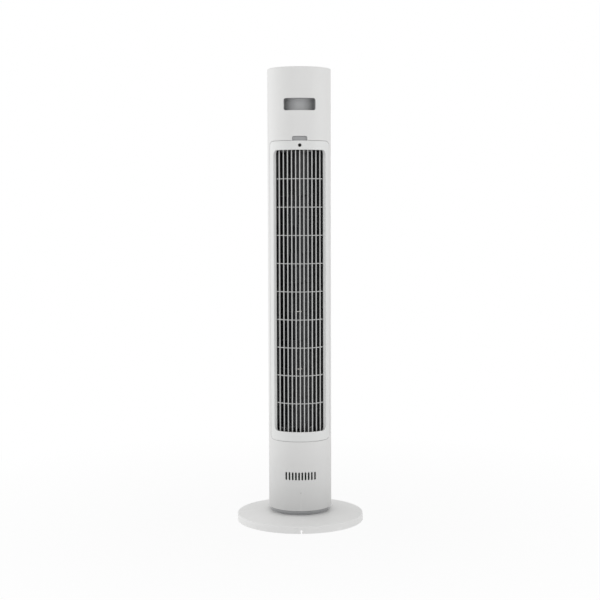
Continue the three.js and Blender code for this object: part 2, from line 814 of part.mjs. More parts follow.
function frontGrille() {
  const low = openingBottom - frontBorder;
  const high = openingTop + frontBorder;
  let grille = ring(shellInnerRadius, towerRadius, low, high);
  grille = grille.intersect(wedge(frontHalfAngle, 1, low - cutOverrun, high + cutOverrun));
  grille = grille.subtract(wedge(frontWindowHalfAngle, 1, openingBottom, openingTop));
  for (let i = 0; i < vaneCount; i += 1) {
    const x = (i - (vaneCount - 1) / 2) * vanePitch;
    const y = [edgeDepth(vaneInnerRadius, x), edgeDepth(vaneOuterRadius, x)];
    const z = [openingBottom - vaneLip, openingTop + vaneLip];
    grille = grille.add(block([x - vaneThickness / 2, x + vaneThickness / 2], y, z));
  }
  const barGap = openingHeight / (frontBarCount + 1);
  for (let i = 1; i <= frontBarCount; i += 1) {
    const z = openingBottom + i * barGap;
    const reach = frontWindowHalfAngle + vaneLip / towerRadius;
    const radii = [vaneInnerRadius + barInset, vaneOuterRadius - barInset];
    grille = grille.add(arcStrip(...radii, reach, 1, z - barThickness / 2, z + barThickness / 2));
  }
  return grille;
}

function ductLevels() {
  return [lowerBulkheadTop + seatGap, upperBulkheadBottom - seatGap];
}

function aroundWheel(radius, angle) {
  return polar(radius, angle).add(new THREE.Vector2(wheelX, wheelY));
}

// Point near the rear shell where a duct wall starts, on the left (-1) or right (+1).
function guideEnd(side) {
  const radius = shellInnerRadius - guideInset;
  return new THREE.Vector2(side * radius * Math.sin(guideAngle), -radius * Math.cos(guideAngle));
}

// Gap from the wheel to the scroll's far end, which lies a set distance inside the shell.
function scrollEndGap() {
  const along = wheelX * Math.cos(scrollEndAngle) + wheelY * Math.sin(scrollEndAngle);
  const offset = Math.hypot(wheelX, wheelY);
  const across = Math.sqrt(offset * offset - along * along);
  return edgeDepth(shellInnerRadius - scrollEndInset, across) - along - wheelRadius;
}

function scrollWall() {
  const points = [guideEnd(1)];
  const growth = scrollEndGap() - scrollStartGap;
  for (let i = 0; i <= spiralSteps; i += 1) {
    const share = i / spiralSteps;
    const gap = scrollStartGap + growth * share * share;
    const angle = scrollStartAngle + (scrollEndAngle - scrollStartAngle) * share;
    points.push(aroundWheel(wheelRadius + gap, angle));
  }
  return sheetAlong(points, ...ductLevels());
}

function vortexTongue() {
  const radius = wheelRadius + tongueGap;
  const outlet = polar(shellInnerRadius - tongueOutletInset, Math.PI / 2 + tongueOutletAngle);
  const points = [guideEnd(-1), aroundWheel(radius, Math.PI + tongueHalfAngle),
    aroundWheel(radius, Math.PI), aroundWheel(radius, Math.PI - tongueHalfAngle), outlet];
  return sheetAlong(points, ...ductLevels());
}

function lowerBulkhead() {
  const low = lowerBulkheadBottom - cutOverrun;
  const high = lowerBulkheadTop + cutOverrun;
  return disc(insideRadius, lowerBulkheadBottom, lowerBulkheadTop)
    .subtract(discAt(wheelX, wheelY, shaftHoleRadius, low, high))
    .subtract(discAt(loomSpot.x, loomSpot.y, loomHoleRadius, low, high, screwFacets));
}

function upperBulkhead() {
  const rubberTop = bearingCupBottom + rubberHeight + seatGap;
  const cupTop = rubberTop + bulkheadWall;
  const low = upperBulkheadBottom - cutOverrun;
  const high = upperBulkheadTop + cutOverrun;
  const bossFront = cupFloorY + cupFloor + seatGap;
  const bossBack = cupFloorY + coverScrewLength + seatGap;
  const bossHalf = screwBossRadius;
  const bossZ = [upperBulkheadTop - joinOverlap, coverScrewZ + bossHalf];
  const hole = screwShankRadius + seatGap;
  const holeY = [bossFront - cutOverrun, bossBack + cutOverrun];
  return disc(insideRadius, upperBulkheadBottom, upperBulkheadTop)
    .add(discAt(wheelX, wheelY, bearingCupRadius, bearingCupBottom, cupTop))
    .add(block([-bossHalf, bossHalf], [bossFront, bossBack], bossZ))
    .subtract(discAt(wheelX, wheelY, rubberRadius + seatGap, bearingCupBottom - cutOverrun, rubberTop))
    .subtract(discAt(wheelX, wheelY, bushRadius, rubberTop - joinOverlap, cupTop + cutOverrun))
    .subtract(discAt(loomSpot.x, loomSpot.y, loomHoleRadius, low, high, screwFacets))
    .subtract(barAlongY(0, coverScrewZ, hole, ...holeY, screwFacets));
}

// The pieces of the wheel and of the motor are built round their own axis.
function wheelSegment(index) {
  const low = wheelBottom + index * segmentPitch;
  const high = (index === segmentCount - 1 ? wheelTop : low + segmentPitch) - seatGap;
  let segment = ring(discInnerRadius, wheelRadius, low, low + discThickness, wheelFacets);
  const span = (wheelRadius - bladeInnerRadius) / Math.cos(bladeTilt);
  for (let i = 0; i < bladeCount; i += 1) {
    const length = high - low - discThickness / 2;
    const blade = new THREE.BoxGeometry(span - 2 * joinOverlap, bladeThickness, length);
    blade.rotateZ(bladeTilt);
    blade.translate((wheelRadius + bladeInnerRadius) / 2, 0, (high + low + discThickness / 2) / 2);
    blade.rotateZ((i + 0.5) / bladeCount * 2 * Math.PI);
    segment = segment.add(solidFrom(blade));
  }
  return segment;
}

function balanceClip(index) {
  const middle = wheelBottom + index * segmentPitch + discThickness / 2;
  const near = -(wheelRadius + seatGap + clipThickness);
  const y = [near, near + clipThickness];
  const z = [middle - clipHeight / 2, middle + clipHeight / 2];
  return block([-clipWidth / 2, clipWidth / 2], y, z);
}

function wheelLowerHub() {
  const top = wheelBottom - seatGap;
  const plate = disc(wheelRadius, top - endPlateThickness, top, wheelFacets);
  const boss = disc(hubBossRadius, top - endPlateThickness - hubBossLength, top - joinOverlap, smallFacets);
  const low = top - endPlateThickness - hubBossLength - cutOverrun;
  return plate.add(boss).subtract(disc(shaftRadius + seatGap, low, top + cutOverrun, smallFacets));
}

function wheelUpperHub() {
  const low = wheelTop;
  const high = low + endPlateThickness;
  const plate = disc(wheelRadius, low, high, wheelFacets);
  const stubTop = bearingCupBottom + rubberHeight - seatGap;
  return plate.add(disc(shaftRadius, high - joinOverlap, stubTop, smallFacets));
}

function motorShaft() {
  const low = statorBottom - bellHeight;
  return disc(shaftRadius, low, wheelBottom - seatGap - endPlateThickness / 2, smallFacets);
}

function motorRotor() {
  return ring(shaftRadius + seatGap, rotorRadius, statorBottom, statorTop, smallFacets);
}

function motorStator() {
  return ring(statorBore, statorRadius, statorBottom, statorTop, motorFacets);
}

// Cup-shaped end of the motor. Side +1 is the upper one.
function motorBell(side) {
  const foot = side > 0 ? statorTop + seatGap : statorBottom - seatGap;
  const top = foot + side * bellHeight;
  const shoulder = foot + side * bellHeight / 2;
  const bore = shaftRadius + seatGap;
  const outline = [[statorRadius - bellWall, foot], [statorRadius, foot], [statorRadius, shoulder],
    [bellNoseRadius, top], [bore, top], [bore, top - side * bellWall],
    [bellNoseRadius - bellWall, top - side * bellWall],
    [statorRadius - bellWall, shoulder - side * bellWall / 2]];
  if (side < 0) {
    outline.reverse();
  }
  return revolved(outline, motorFacets);
}

// Ring that grips the motor's upper bell and hangs it from the lower bulkhead.
function motorBracket() {
  const top = lowerBulkheadBottom - seatGap;
  const shoulder = statorTop + seatGap + bellHeight / 2;
  const inner = statorRadius + seatGap;
  const outer = inner + bracketWall;
  return revolved([[inner, shoulder - bracketGrip], [outer, shoulder - bracketGrip],
    [outer, top - bracketWall - bracketDrop], [bracketFlangeRadius, top - bracketWall],
    [bracketFlangeRadius, top], [inner, top - bracketDrop]], motorFacets);
}

function bearingRubber() {
  const low = bearingCupBottom;
  return ring(rubberBore, rubberRadius, low, low + rubberHeight, smallFacets);
}

function upperBush() {
  const low = bearingCupBottom + (rubberHeight - bushHeight) / 2;
  return ring(shaftRadius + seatGap, bushRadius, low, low + bushHeight, smallFacets);
}

function powerBoard() {
  const near = powerBoardOffset - boardThickness / 2;
  const x = [-powerBoardWidth / 2, powerBoardWidth / 2];
  const board = block(x, [near, near + boardThickness], [floorLevel, floorLevel + powerBoardHeight]);
  const low = floorLevel + transformerRise;
  const transformerY = [near - transformerDepth, near + joinOverlap];
  const transformer = block([0, transformerWidth], transformerY, [low, low + transformerHeight]);
  const capacitorY = [near - capacitorDepth, near + joinOverlap];
  const capacitor = block([-capacitorWidth, -ribWall], capacitorY, [low, low + capacitorHeight]);
  return board.add(transformer).add(capacitor);
}

function topCap() {
  let cap = disc(insideRadius, capBottom, capTop);
  for (const x of buttonPlaces()) {
    const hole = buttonRadius + seatGap;
    cap = cap.subtract(discAt(x, buttonOffset, hole, capBottom - cutOverrun, capTop + cutOverrun));
  }
  const recess = roundedRectangle(0, displayOffset, displayWidth + 2 * seatGap,
    displayDepth + 2 * seatGap, displayCornerRadius + seatGap);
  cap = cap.subtract(upright(recess, capTop - displayThickness - seatGap, capTop + cutOverrun));
  for (const x of [-1, 1]) {
    for (const y of [controlBoardStart + postInset, controlBoardEnd - postInset]) {
      const across = x * (controlBoardWidth / 2 - postInset);
      const z = [capBottom - postHeight, capBottom + joinOverlap];
      cap = cap.add(discAt(across, y, postRadius, ...z, screwFacets));
    }
  }
  return cap;
}

function displayWindow() {
  const shape = roundedRectangle(0, displayOffset, displayWidth, displayDepth, displayCornerRadius);
  return upright(shape, capTop - displayThickness, capTop);
}

function buttonPlaces() {
  return buttonNames.map((name, i) => (i - (buttonNames.length - 1) / 2) * buttonPitch);
}

// Round key with a flange that keeps it under the cap, built round its own axis.
function button() {
  const flangeTop = capBottom - seatGap;
  const flangeBottom = flangeTop - buttonFlangeThickness;
  const flange = disc(buttonRadius + buttonFlangeMargin, flangeBottom, flangeTop, smallFacets);
  return flange.add(disc(buttonRadius, flangeTop - joinOverlap, capTop + buttonProud, smallFacets));
}

function controlBoard() {
  const x = [-controlBoardWidth / 2, controlBoardWidth / 2];
  const top = controlBoardTop;
  let board = block(x, [controlBoardStart, controlBoardEnd], [top - boardThickness, top]);
  const switchTop = capBottom - seatGap - buttonFlangeThickness - buttonTravel - seatGap;
  for (const place of buttonPlaces()) {
    const across = [place - switchSize / 2, place + switchSize / 2];
    const along = [buttonOffset - switchSize / 2, buttonOffset + switchSize / 2];
    board = board.add(block(across, along, [top - joinOverlap, switchTop]));
  }
  return board;
}

// Wires from the power board up the side of the duct to the control board.
function wiringLoom() {
  const start = floorLevel + powerBoardHeight + seatGap;
  const end = controlBoardTop - boardThickness - seatGap;
  const boardX = -powerBoardWidth / 3;
  const topX = -controlBoardWidth / 3;
  const route = new THREE.CurvePath();
  const lowTurn = [new THREE.Vector3(boardX, powerBoardOffset, start),
    new THREE.Vector3(boardX, powerBoardOffset, start + loomBend),
    new THREE.Vector3(loomSpot.x, loomSpot.y, start + loomBend / 2),
    new THREE.Vector3(loomSpot.x, loomSpot.y, start + 2 * loomBend)];
  const highTurn = [new THREE.Vector3(loomSpot.x, loomSpot.y, end - 2 * loomBend),
    new THREE.Vector3(loomSpot.x, loomSpot.y, end - loomBend / 2),
    new THREE.Vector3(topX, loomSpot.y, end - loomBend),
    new THREE.Vector3(topX, loomSpot.y, end)];
  route.add(new THREE.CubicBezierCurve3(...lowTurn));
  route.add(new THREE.LineCurve3(lowTurn[3], highTurn[0]));
  route.add(new THREE.CubicBezierCurve3(...highTurn));
  const section = new THREE.Shape();
  section.absarc(0, 0, loomRadius, 0, 2 * Math.PI);
  const tube = { steps: loomSteps, curveSegments: loomSides, extrudePath: route, bevelEnabled: false };
  return solidFrom(new THREE.ExtrudeGeometry(section, tube));
}

function addPiece(group, name, solid, color, roughness = 0.5, metalness = 0) {
  const material = new THREE.MeshStandardMaterial({ color, roughness, metalness });
  const piece = new THREE.Mesh(geometryFrom(solid), material);
  piece.name = name;
  group.add(piece);
  return piece;
}

const white = '#eeeeec';
const darkPlastic = '#3a3b3d';
const neckGrey = '#8c8d8e';
const steel = '#b9bbbd';
const copperBoard = '#2f5d3a';
const rubberBlack = '#222222';
const innerGrey = '#b5b6b6';

function buildBase() {
  const base = new THREE.Group();
  addPiece(base, 'base_rear_half', baseHalf(-1).subtract(keyhole()), white);
  addPiece(base, 'base_front_half', baseHalf(1), white);
  addPiece(base, 'base_hub', baseHub(), neckGrey);
  addPiece(base, 'cord_gland', cordGland(), rubberBlack, 0.8);
  addPiece(base, 'swing_sector', swingSector(), innerGrey, 0.4);
  addPiece(base, 'swing_retainer', swingRetainer(), steel, 0.35, 1);
  addPiece(base, 'glide_ring', glideRing(), innerGrey, 0.35);
  footAngles().forEach((angle, i) => {
    const solid = disc(footRadius, 0, footHeight, smallFacets);
    const foot = addPiece(base, `foot_${i + 1}`, solid, rubberBlack, 0.9);
    const spot = polar(footRingRadius, angle);
    foot.position.set(spot.x, spot.y, 0);
  });
  screwAngles().forEach((angle, i) => {
    const screw = addPiece(base, `base_screw_${i + 1}`, baseScrew(), steel, 0.35, 1);
    const spot = polar(screwRingRadius, angle);
    screw.position.set(spot.x, spot.y, deckBottom - seatGap);
  });
  return base;
}

function buildMotor() {
  const motor = new THREE.Group();
  addPiece(motor, 'motor_stator', motorStator(), '#6f7173', 0.5, 0.8);
  addPiece(motor, 'motor_upper_bell', motorBell(1), steel, 0.4, 1);
  addPiece(motor, 'motor_lower_bell', motorBell(-1), steel, 0.4, 1);
  addPiece(motor, 'motor_bracket', motorBracket(), steel, 0.4, 1);
  addPiece(motor, 'bearing_rubber', bearingRubber(), rubberBlack, 0.9);
  addPiece(motor, 'upper_bush', upperBush(), '#a8864a', 0.4, 1);
  motor.position.set(wheelX, wheelY, 0);
  return motor;
}

function buildTower() {
  const tower = new THREE.Group();
  addPiece(tower, 'rear_shell', rearShell(), white);
  addPiece(tower, 'front_shell', frontShell(), white);
  addPiece(tower, 'rear_grille', rearGrille(), white);
  addPiece(tower, 'cover_screw', coverScrew(), steel, 0.35, 1);
  addPiece(tower, 'front_grille', frontGrille(), white);
  addPiece(tower, 'handle_pocket', handlePocket(), white, 0.55);
  addPiece(tower, 'top_cap', topCap(), white);
  addPiece(tower, 'display_window', displayWindow(), '#15171a', 0.15);
  addPiece(tower, 'control_board', controlBoard(), copperBoard);
  addPiece(tower, 'turntable', turntable(), neckGrey);
  addPiece(tower, 'swing_motor', swingMotor(), steel, 0.4, 1);
  addPiece(tower, 'power_board', powerBoard(), copperBoard);
  addPiece(tower, 'lower_bulkhead', lowerBulkhead(), white);
  addPiece(tower, 'upper_bulkhead', upperBulkhead(), white);
  addPiece(tower, 'scroll_wall', scrollWall(), darkPlastic);
  addPiece(tower, 'vortex_tongue', vortexTongue(), darkPlastic);
  addPiece(tower, 'wiring_loom', wiringLoom(), rubberBlack, 0.7);
  tower.add(buildMotor());
  buttonPlaces().forEach((x, i) => {
    const key = addPiece(tower, buttonNames[i], button(), '#d9dad9', 0.45);
    key.position.set(x, buttonOffset, 0);
  });
  const pinion = addPiece(tower, 'swing_pinion', swingPinion(), innerGrey, 0.4);
  pinion.position.set(pinionDistance, 0, 0);
  return tower;
}

function buildWheel() {
  const wheel = new THREE.Group();
  for (let i = 0; i < segmentCount; i += 1) {
    addPiece(wheel, `wheel_segment_${i + 1}`, wheelSegment(i), darkPlastic, 0.6);
  }
  addPiece(wheel, 'wheel_lower_hub', wheelLowerHub(), darkPlastic, 0.6);
  addPiece(wheel, 'wheel_upper_hub', wheelUpperHub(), darkPlastic, 0.6);
  addPiece(wheel, 'motor_shaft', motorShaft(), steel, 0.3, 1);
  addPiece(wheel, 'motor_rotor', motorRotor(), '#8a8c8e', 0.5, 0.9);
  clipSegments.forEach((index, i) => {
    const clip = addPiece(wheel, `balance_clip_${i + 1}`, balanceClip(index), steel, 0.3, 1);
    clip.rotation.z = clipTurn;
  });
  wheel.position.set(wheelX, wheelY, 0);
  return wheel;
}

const towerFan = new THREE.Group();
towerFan.add(buildBase());
towerFan.add(buildTower());
towerFan.add(buildWheel());

export default towerFan;
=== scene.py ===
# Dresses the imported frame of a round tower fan, seen from behind, and sets up its studio.
# Metres, +Z up. The rear of the fan, with the intake grille, faces -Y.
import math

import bmesh
import bpy
from mathutils import Matrix, Vector


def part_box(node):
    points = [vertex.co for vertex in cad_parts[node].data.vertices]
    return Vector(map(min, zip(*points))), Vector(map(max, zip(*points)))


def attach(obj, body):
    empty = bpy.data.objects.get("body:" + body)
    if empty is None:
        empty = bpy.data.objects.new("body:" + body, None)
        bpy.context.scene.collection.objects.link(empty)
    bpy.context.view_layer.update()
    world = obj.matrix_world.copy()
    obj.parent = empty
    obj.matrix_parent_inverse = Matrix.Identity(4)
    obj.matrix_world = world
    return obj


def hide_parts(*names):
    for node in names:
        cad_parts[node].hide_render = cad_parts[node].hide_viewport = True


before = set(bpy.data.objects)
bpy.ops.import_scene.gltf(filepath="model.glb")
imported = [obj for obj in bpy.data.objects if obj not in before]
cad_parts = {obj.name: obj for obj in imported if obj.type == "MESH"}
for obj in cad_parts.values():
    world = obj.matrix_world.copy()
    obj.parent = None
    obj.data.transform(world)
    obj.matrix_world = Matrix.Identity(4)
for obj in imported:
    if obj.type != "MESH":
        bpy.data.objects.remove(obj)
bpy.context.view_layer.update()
mm = 0.001
quarter = math.pi / 2
scene = bpy.context.scene
crispAngle = math.radians(32)  # edges that turn by more than this stay sharp


# Corners, middle and levels of the box round a node
def lowest(node):
    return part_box(node)[0]


def highest(node):
    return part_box(node)[1]


def middleOf(node):
    return (lowest(node) + highest(node)) / 2


def levelsOf(node):
    return lowest(node).z, highest(node).z


tower = {
    "radius": -lowest("rear_shell").y,
    "bottom": lowest("rear_shell").z,
    "top": highest("rear_shell").z,
    "wall": 2.5 * mm,
    "overlap": 0.8 * mm,  # how deep pockets and cups start inside the wall
    "seam": 0.3 * mm,  # gap between neighbouring mouldings
    "edge": 0.5 * mm,  # softened moulded edge
    "seamEdge": 0.7 * mm,
    "topEdge": 1.9 * mm,
    "corner": 0.4 * mm,
}
cover = {
    "top": highest("rear_grille").z,
    "bottom": lowest("rear_grille").z,
    "halfWidth": highest("rear_grille").x,
    "corner": 10 * mm,
    "openingAngle": math.radians(54),
    "topBorder": 22.5 * mm,
    "bottomBorder": 23.6 * mm,
    "openingCorner": 11 * mm,
    "faceRadius": tower["radius"] - 7.5 * mm,
    "backRadius": tower["radius"] - 16 * mm,
    "trayWall": 2 * mm,
    "stepWidth": 1 * mm,
    "stepDepth": 1.5 * mm,
    "sideWallDepth": 5.2 * mm,
    "sillDrop": 4.5 * mm,  # the recess's ends lie this far behind the opening's edge
    "topRise": 2.5 * mm,
    "lipLift": 0.5 * mm,
    "openingEdge": 0.9 * mm,
    "play": 0.3 * mm,  # cover's edge drawn in, so that its seam shows
    "stepPlay": 0.3 * mm,  # how far the recess's rim goes on under the skin
    "hiddenReach": 1.2 * mm,
    "skinBite": 0.5 * mm,
    "faceBevel": 0.6 * mm,  # softens the side walls' front edge
    "facePoint": 4 * mm,  # longest step between the recess outline's points
}
cover["openingTop"] = cover["top"] - cover["topBorder"]
cover["openingBottom"] = cover["bottom"] + cover["bottomBorder"]


# Shapes

# Point at an angle from the middle of the rear, which grows towards +X.
def around(angle, radius, z):
    return Vector((radius * math.sin(angle), -radius * math.cos(angle), z))


# Moves a closed outline to its left: inwards if it runs counter-clockwise.
def offsetLoop(points, distance):
    moved = []
    for i, point in enumerate(points):
        before = (point - points[i - 1]).normalized()
        after = (points[(i + 1) % len(points)] - point).normalized()
        left = Vector((-before.y - after.y, before.x + after.x)).normalized()
        stretch = 1 / max(left.dot(Vector((-after.y, after.x))), 0.5)
        moved.append(point + left * distance * stretch)
    return moved


# Rounds the corners of a closed outline, by one radius or one for each corner.
def filleted(corners, radius, steps=6):
    radii = radius if isinstance(radius, list) else [radius] * len(corners)
    points = [Vector(corner) for corner in corners]
    rounded = []
    for i, corner in enumerate(points):
        if radii[i] == 0:
            rounded.append(corner)
            continue
        back = (points[i - 1] - corner).normalized()
        ahead = (points[(i + 1) % len(points)] - corner).normalized()
        half = back.angle(ahead) / 2
        centre = corner + (back + ahead).normalized() * radii[i] / math.sin(half)
        start = corner + back * radii[i] / math.tan(half) - centre
        turn = math.copysign(math.pi - 2 * half, ahead.cross(back))
        for k in range(steps + 1):
            rounded.append(centre + Matrix.Rotation(turn * k / steps, 2) @ start)
    return rounded


def rectangle(left, right, low, high, radius, steps=6):
    corners = [(left, low), (right, low), (right, high), (left, high)]
    return filleted(corners, radius, steps)


def circle(x, y, radius, steps=24):
    turns = [2 * math.pi * k / steps for k in range(steps)]
    return [Vector((x + radius * math.cos(t), y + radius * math.sin(t))) for t in turns]


def hole(loop):
    return list(reversed(loop))


# Joins rings of points into a skin, with a cap on each end or the last ring on the first.
def loft(bm, rings, closed=False):
    rows = [[bm.verts.new(point) for point in ring] for ring in rings]
    if closed:
        rows.append(rows[0])
    for low, high in zip(rows, rows[1:]):
        for i in range(len(low)):
            j = (i + 1) % len(low)
            bm.faces.new((low[i], low[j], high[j], high[i]))
    if not closed:
        bm.faces.new(rows[0][::-1])
        bm.faces.new(rows[-1])


# Turned shape about an upright axis, from a closed profile of radii and heights.
def turned(bm, profile, centre=(0, 0), start=0, sweep=2 * math.pi, steps=96):
    full = sweep > 2 * math.pi - 0.001
    count = steps if full else steps + 1
    shift = Vector((centre[0], centre[1], 0))
    rings = []
    for k in range(count):
        angle = start + sweep * k / steps
        rings.append([around(angle, radius, z) + shift for radius, z in profile])
    loft(bm, rings, closed=full)


# Upright prism of an outline seen from above.
def prism(bm, loop, low, high):
    loft(bm, [[(p.x, p.y, z) for p in loop] for z in (low, high)])


# Flat sheet with softened edges. The outline runs counter-clockwise and its holes clockwise.
def softSheet(bm, loops, thickness, edges, steps=3):
    turns = [k / steps * quarter for k in range(steps + 1)]
    caps = [[], []]
    for loop, edge in zip(loops, edges):
        levels = [(edge * (1 - math.sin(t)), thickness / 2 - edge * (1 - math.cos(t)))
                  for t in turns]
        levels += [(inset, -z) for inset, z in reversed(levels)]
        rows = []
        for inset, z in levels:
            rows.append([bm.verts.new((p.x, p.y, z)) for p in offsetLoop(loop, inset)])
        for upper, lower in zip(rows, rows[1:]):
            for i in range(len(loop)):
                j = (i + 1) % len(loop)
                bm.faces.new((upper[i], lower[i], lower[j], upper[j]))
        for cap, row in zip(caps, (rows[0], rows[-1])):
            for i in range(len(loop)):
                cap.append(bm.edges.get((row[i], row[(i + 1) % len(loop)])))
    for cap in caps:
        bmesh.ops.triangle_fill(bm, use_beauty=True, edges=cap, normal=(0, 0, 1))


def cutAcross(bm, places, axis):
    for place in places:
        point = [0, 0, 0]
        normal = [0, 0, 0]
        point[axis] = place
        normal[axis] = 1
        everything = [*bm.verts, *bm.edges, *bm.faces]
        bmesh.ops.bisect_plane(bm, geom=everything, plane_co=point, plane_no=normal)


# Bends a flat sheet round the tower: its X is the way round the skin and its Y is height.
def wrap(bm, middleRadius, middleAngle=0, strip=math.radians(2.5)):
    step = strip * tower["radius"]
    reach = max(abs(v.co.x) for v in bm.verts)
    count = int(reach / step)
    cutAcross(bm, [k * step for k in range(-count, count + 1)], 0)
    for v in bm.verts:
        angle = middleAngle + v.co.x / tower["radius"]
        v.co = around(angle, middleRadius + v.co.z, v.co.y)


# Distance round the skin of a point that is seen straight from behind at x.
def roundSkin(x):
    return tower["radius"] * math.asin(x / tower["radius"])


def onSkin(loop):
    return [Vector((roundSkin(p.x), p.y)) for p in loop]


# Cup pushed in along Y: its rim follows a depth for each x, and its floor has a soft corner.
def cup(bm, loop, rim, floor, wall, corner, steps=5):
    inner = [[(p.x, rim(p.x), p.y) for p in loop]]
    outer = [[(p.x, rim(p.x), p.y) for p in offsetLoop(loop, -wall)]]
    for k in range(steps + 1):
        turn = k / steps * quarter
        inset = corner * (1 - math.cos(turn))
        rise = corner * (1 - math.sin(turn))
        inner.append([(p.x, floor - rise, p.y) for p in offsetLoop(loop, inset)])
        outer.append([(p.x, floor - rise + wall, p.y) for p in offsetLoop(loop, inset - wall)])
    loft(bm, inner[::-1] + outer)


def tubeAlong(bm, points, radius, sides=10):
    rings = []
    for i, point in enumerate(points):
        ahead = (points[min(i + 1, len(points) - 1)] - points[max(i - 1, 0)]).normalized()
        side = ahead.cross(Vector((0, 1, 0))).normalized()
        up = side.cross(ahead)
        ring = []
        for k in range(sides):
            turn = 2 * math.pi * k / sides
            ring.append(point + side * radius * math.cos(turn) + up * radius * math.sin(turn))
        rings.append(ring)
    loft(bm, rings)


# Makes the object, seats it on its body and hides the CAD nodes that it stands for.
def addPiece(name, bm, material, body, nodes=()):
    bmesh.ops.remove_doubles(bm, verts=bm.verts, dist=0.005 * mm)
    bmesh.ops.recalc_face_normals(bm, faces=bm.faces)
    mesh = bpy.data.meshes.new(name)
    bm.to_mesh(mesh)
    bm.free()
    mesh.materials.append(material)
    mesh.shade_smooth()
    mesh.set_sharp_from_angle(angle=crispAngle)
    piece = bpy.data.objects.new(name, mesh)
    scene.collection.objects.link(piece)
    weighted = piece.modifiers.new("evenNormals", "WEIGHTED_NORMAL")
    weighted.keep_sharp = True
    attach(piece, body)
    if nodes:
        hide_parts(*nodes)
    return piece


# A piece that is one turned shape and stands for one node
def addTurned(name, profile, material, body, node, centre=(0, 0), steps=48):
    bm = bmesh.new()
    turned(bm, profile, centre, steps=steps)
    addPiece(name, bm, material, body, [node])


# Materials

# sRGB hex to the linear values that the sockets take
def colour(hexText):
    shares = [int(hexText[i:i + 2], 16) / 255 for i in (1, 3, 5)]
    linear = [s / 12.92 if s <= 0.04045 else ((s + 0.055) / 1.055) ** 2.4 for s in shares]
    return [*linear, 1]


# Adds a node. Properties are set by name, and values fill its inputs or link them.
def addNode(tree, kind, values=None, **properties):
    node = tree.nodes.new(kind)
    for name, value in properties.items():
        setattr(node, name, value)
    for name, value in (values or {}).items():
        if isinstance(value, bpy.types.NodeSocket):
            tree.links.new(value, node.inputs[name])
        else:
            node.inputs[name].default_value = value
    return node


# Starts a material and returns its tree, its shader and its place in the row frame
def startMaterial(name, slot, **shader):
    material = bpy.data.materials.new(name)
    material.use_nodes = True
    tree = material.node_tree
    principled = tree.nodes["Principled BSDF"]
    for socket, value in shader.items():
        principled.inputs[socket].default_value = value
    place = addNode(tree, "ShaderNodeTexCoord").outputs["Object"]
    return material, tree, principled, place


# Per metre, so that one repeat of a pattern has this real size
def repeatsOf(size):
    return 1 / size


# Painted shade in seams, corners and recesses: greys a colour where ambient occlusion finds
# surfaces within a reach
def paintedCornerShade(tree, unshaded, cornerShade):
    shelter = addNode(tree, "ShaderNodeAmbientOcclusion", {"Distance": cornerShade["reach"]}, samples=8)
    share = addNode(tree, "ShaderNodeMapRange", {
        "Value": shelter.outputs["AO"], "From Min": cornerShade["full"], "From Max": cornerShade["none"],
        "To Min": cornerShade["strength"], "To Max": 0})
    return addNode(tree, "ShaderNodeMix", {
        0: share.outputs["Result"], 6: unshaded, 7: colour(cornerShade["hex"])},
        data_type="RGBA").outputs[2]


# Painted shade low on the tower: greys a colour near the floor and thins out upwards
def paintedLowShade(tree, place, unshaded, dustAndLowShade):
    height = addNode(tree, "ShaderNodeSeparateXYZ", {0: place}).outputs["Z"]
    rise = addNode(tree, "ShaderNodeMapRange", {"Value": height, "From Max": dustAndLowShade["reach"]})
    filmAndShade = addNode(tree, "ShaderNodeValToRGB", {"Fac": rise.outputs["Result"]})
    ramp = filmAndShade.color_ramp
    for share, level in dustAndLowShade["levels"]:
        stop = ramp.elements.new(share)
        stop.color = (level, level, level, 1)
    ramp.elements.remove(ramp.elements[0])
    ramp.elements.remove(ramp.elements[-1])
    return addNode(tree, "ShaderNodeMix", {
        0: 1.0, 6: unshaded, 7: filmAndShade.outputs["Color"]},
        data_type="RGBA", blend_type="MULTIPLY").outputs[2]


# Gives a surface its colour, shine and relief, each from the level of a pattern. Its tone is
# a finished colour, or a level and the two shades that the level mixes.
def finishSurface(tree, principled, tone, shine, relief=None):
    if isinstance(tone, tuple):
        level, first, second = tone
        tone = addNode(tree, "ShaderNodeMix", {
            0: level, 6: colour(first), 7: colour(second)}, data_type="RGBA").outputs[2]
    tree.links.new(tone, principled.inputs["Base Color"])
    level, low, high = shine
    roughness = addNode(tree, "ShaderNodeMapRange", {"Value": level, "To Min": low, "To Max": high})
    tree.links.new(roughness.outputs["Result"], principled.inputs["Roughness"])
    if relief:
        level, strength, depth = relief
        bump = addNode(tree, "ShaderNodeBump", {
            "Height": level, "Strength": strength, "Distance": depth})
        tree.links.new(bump.outputs["Normal"], principled.inputs["Normal"])


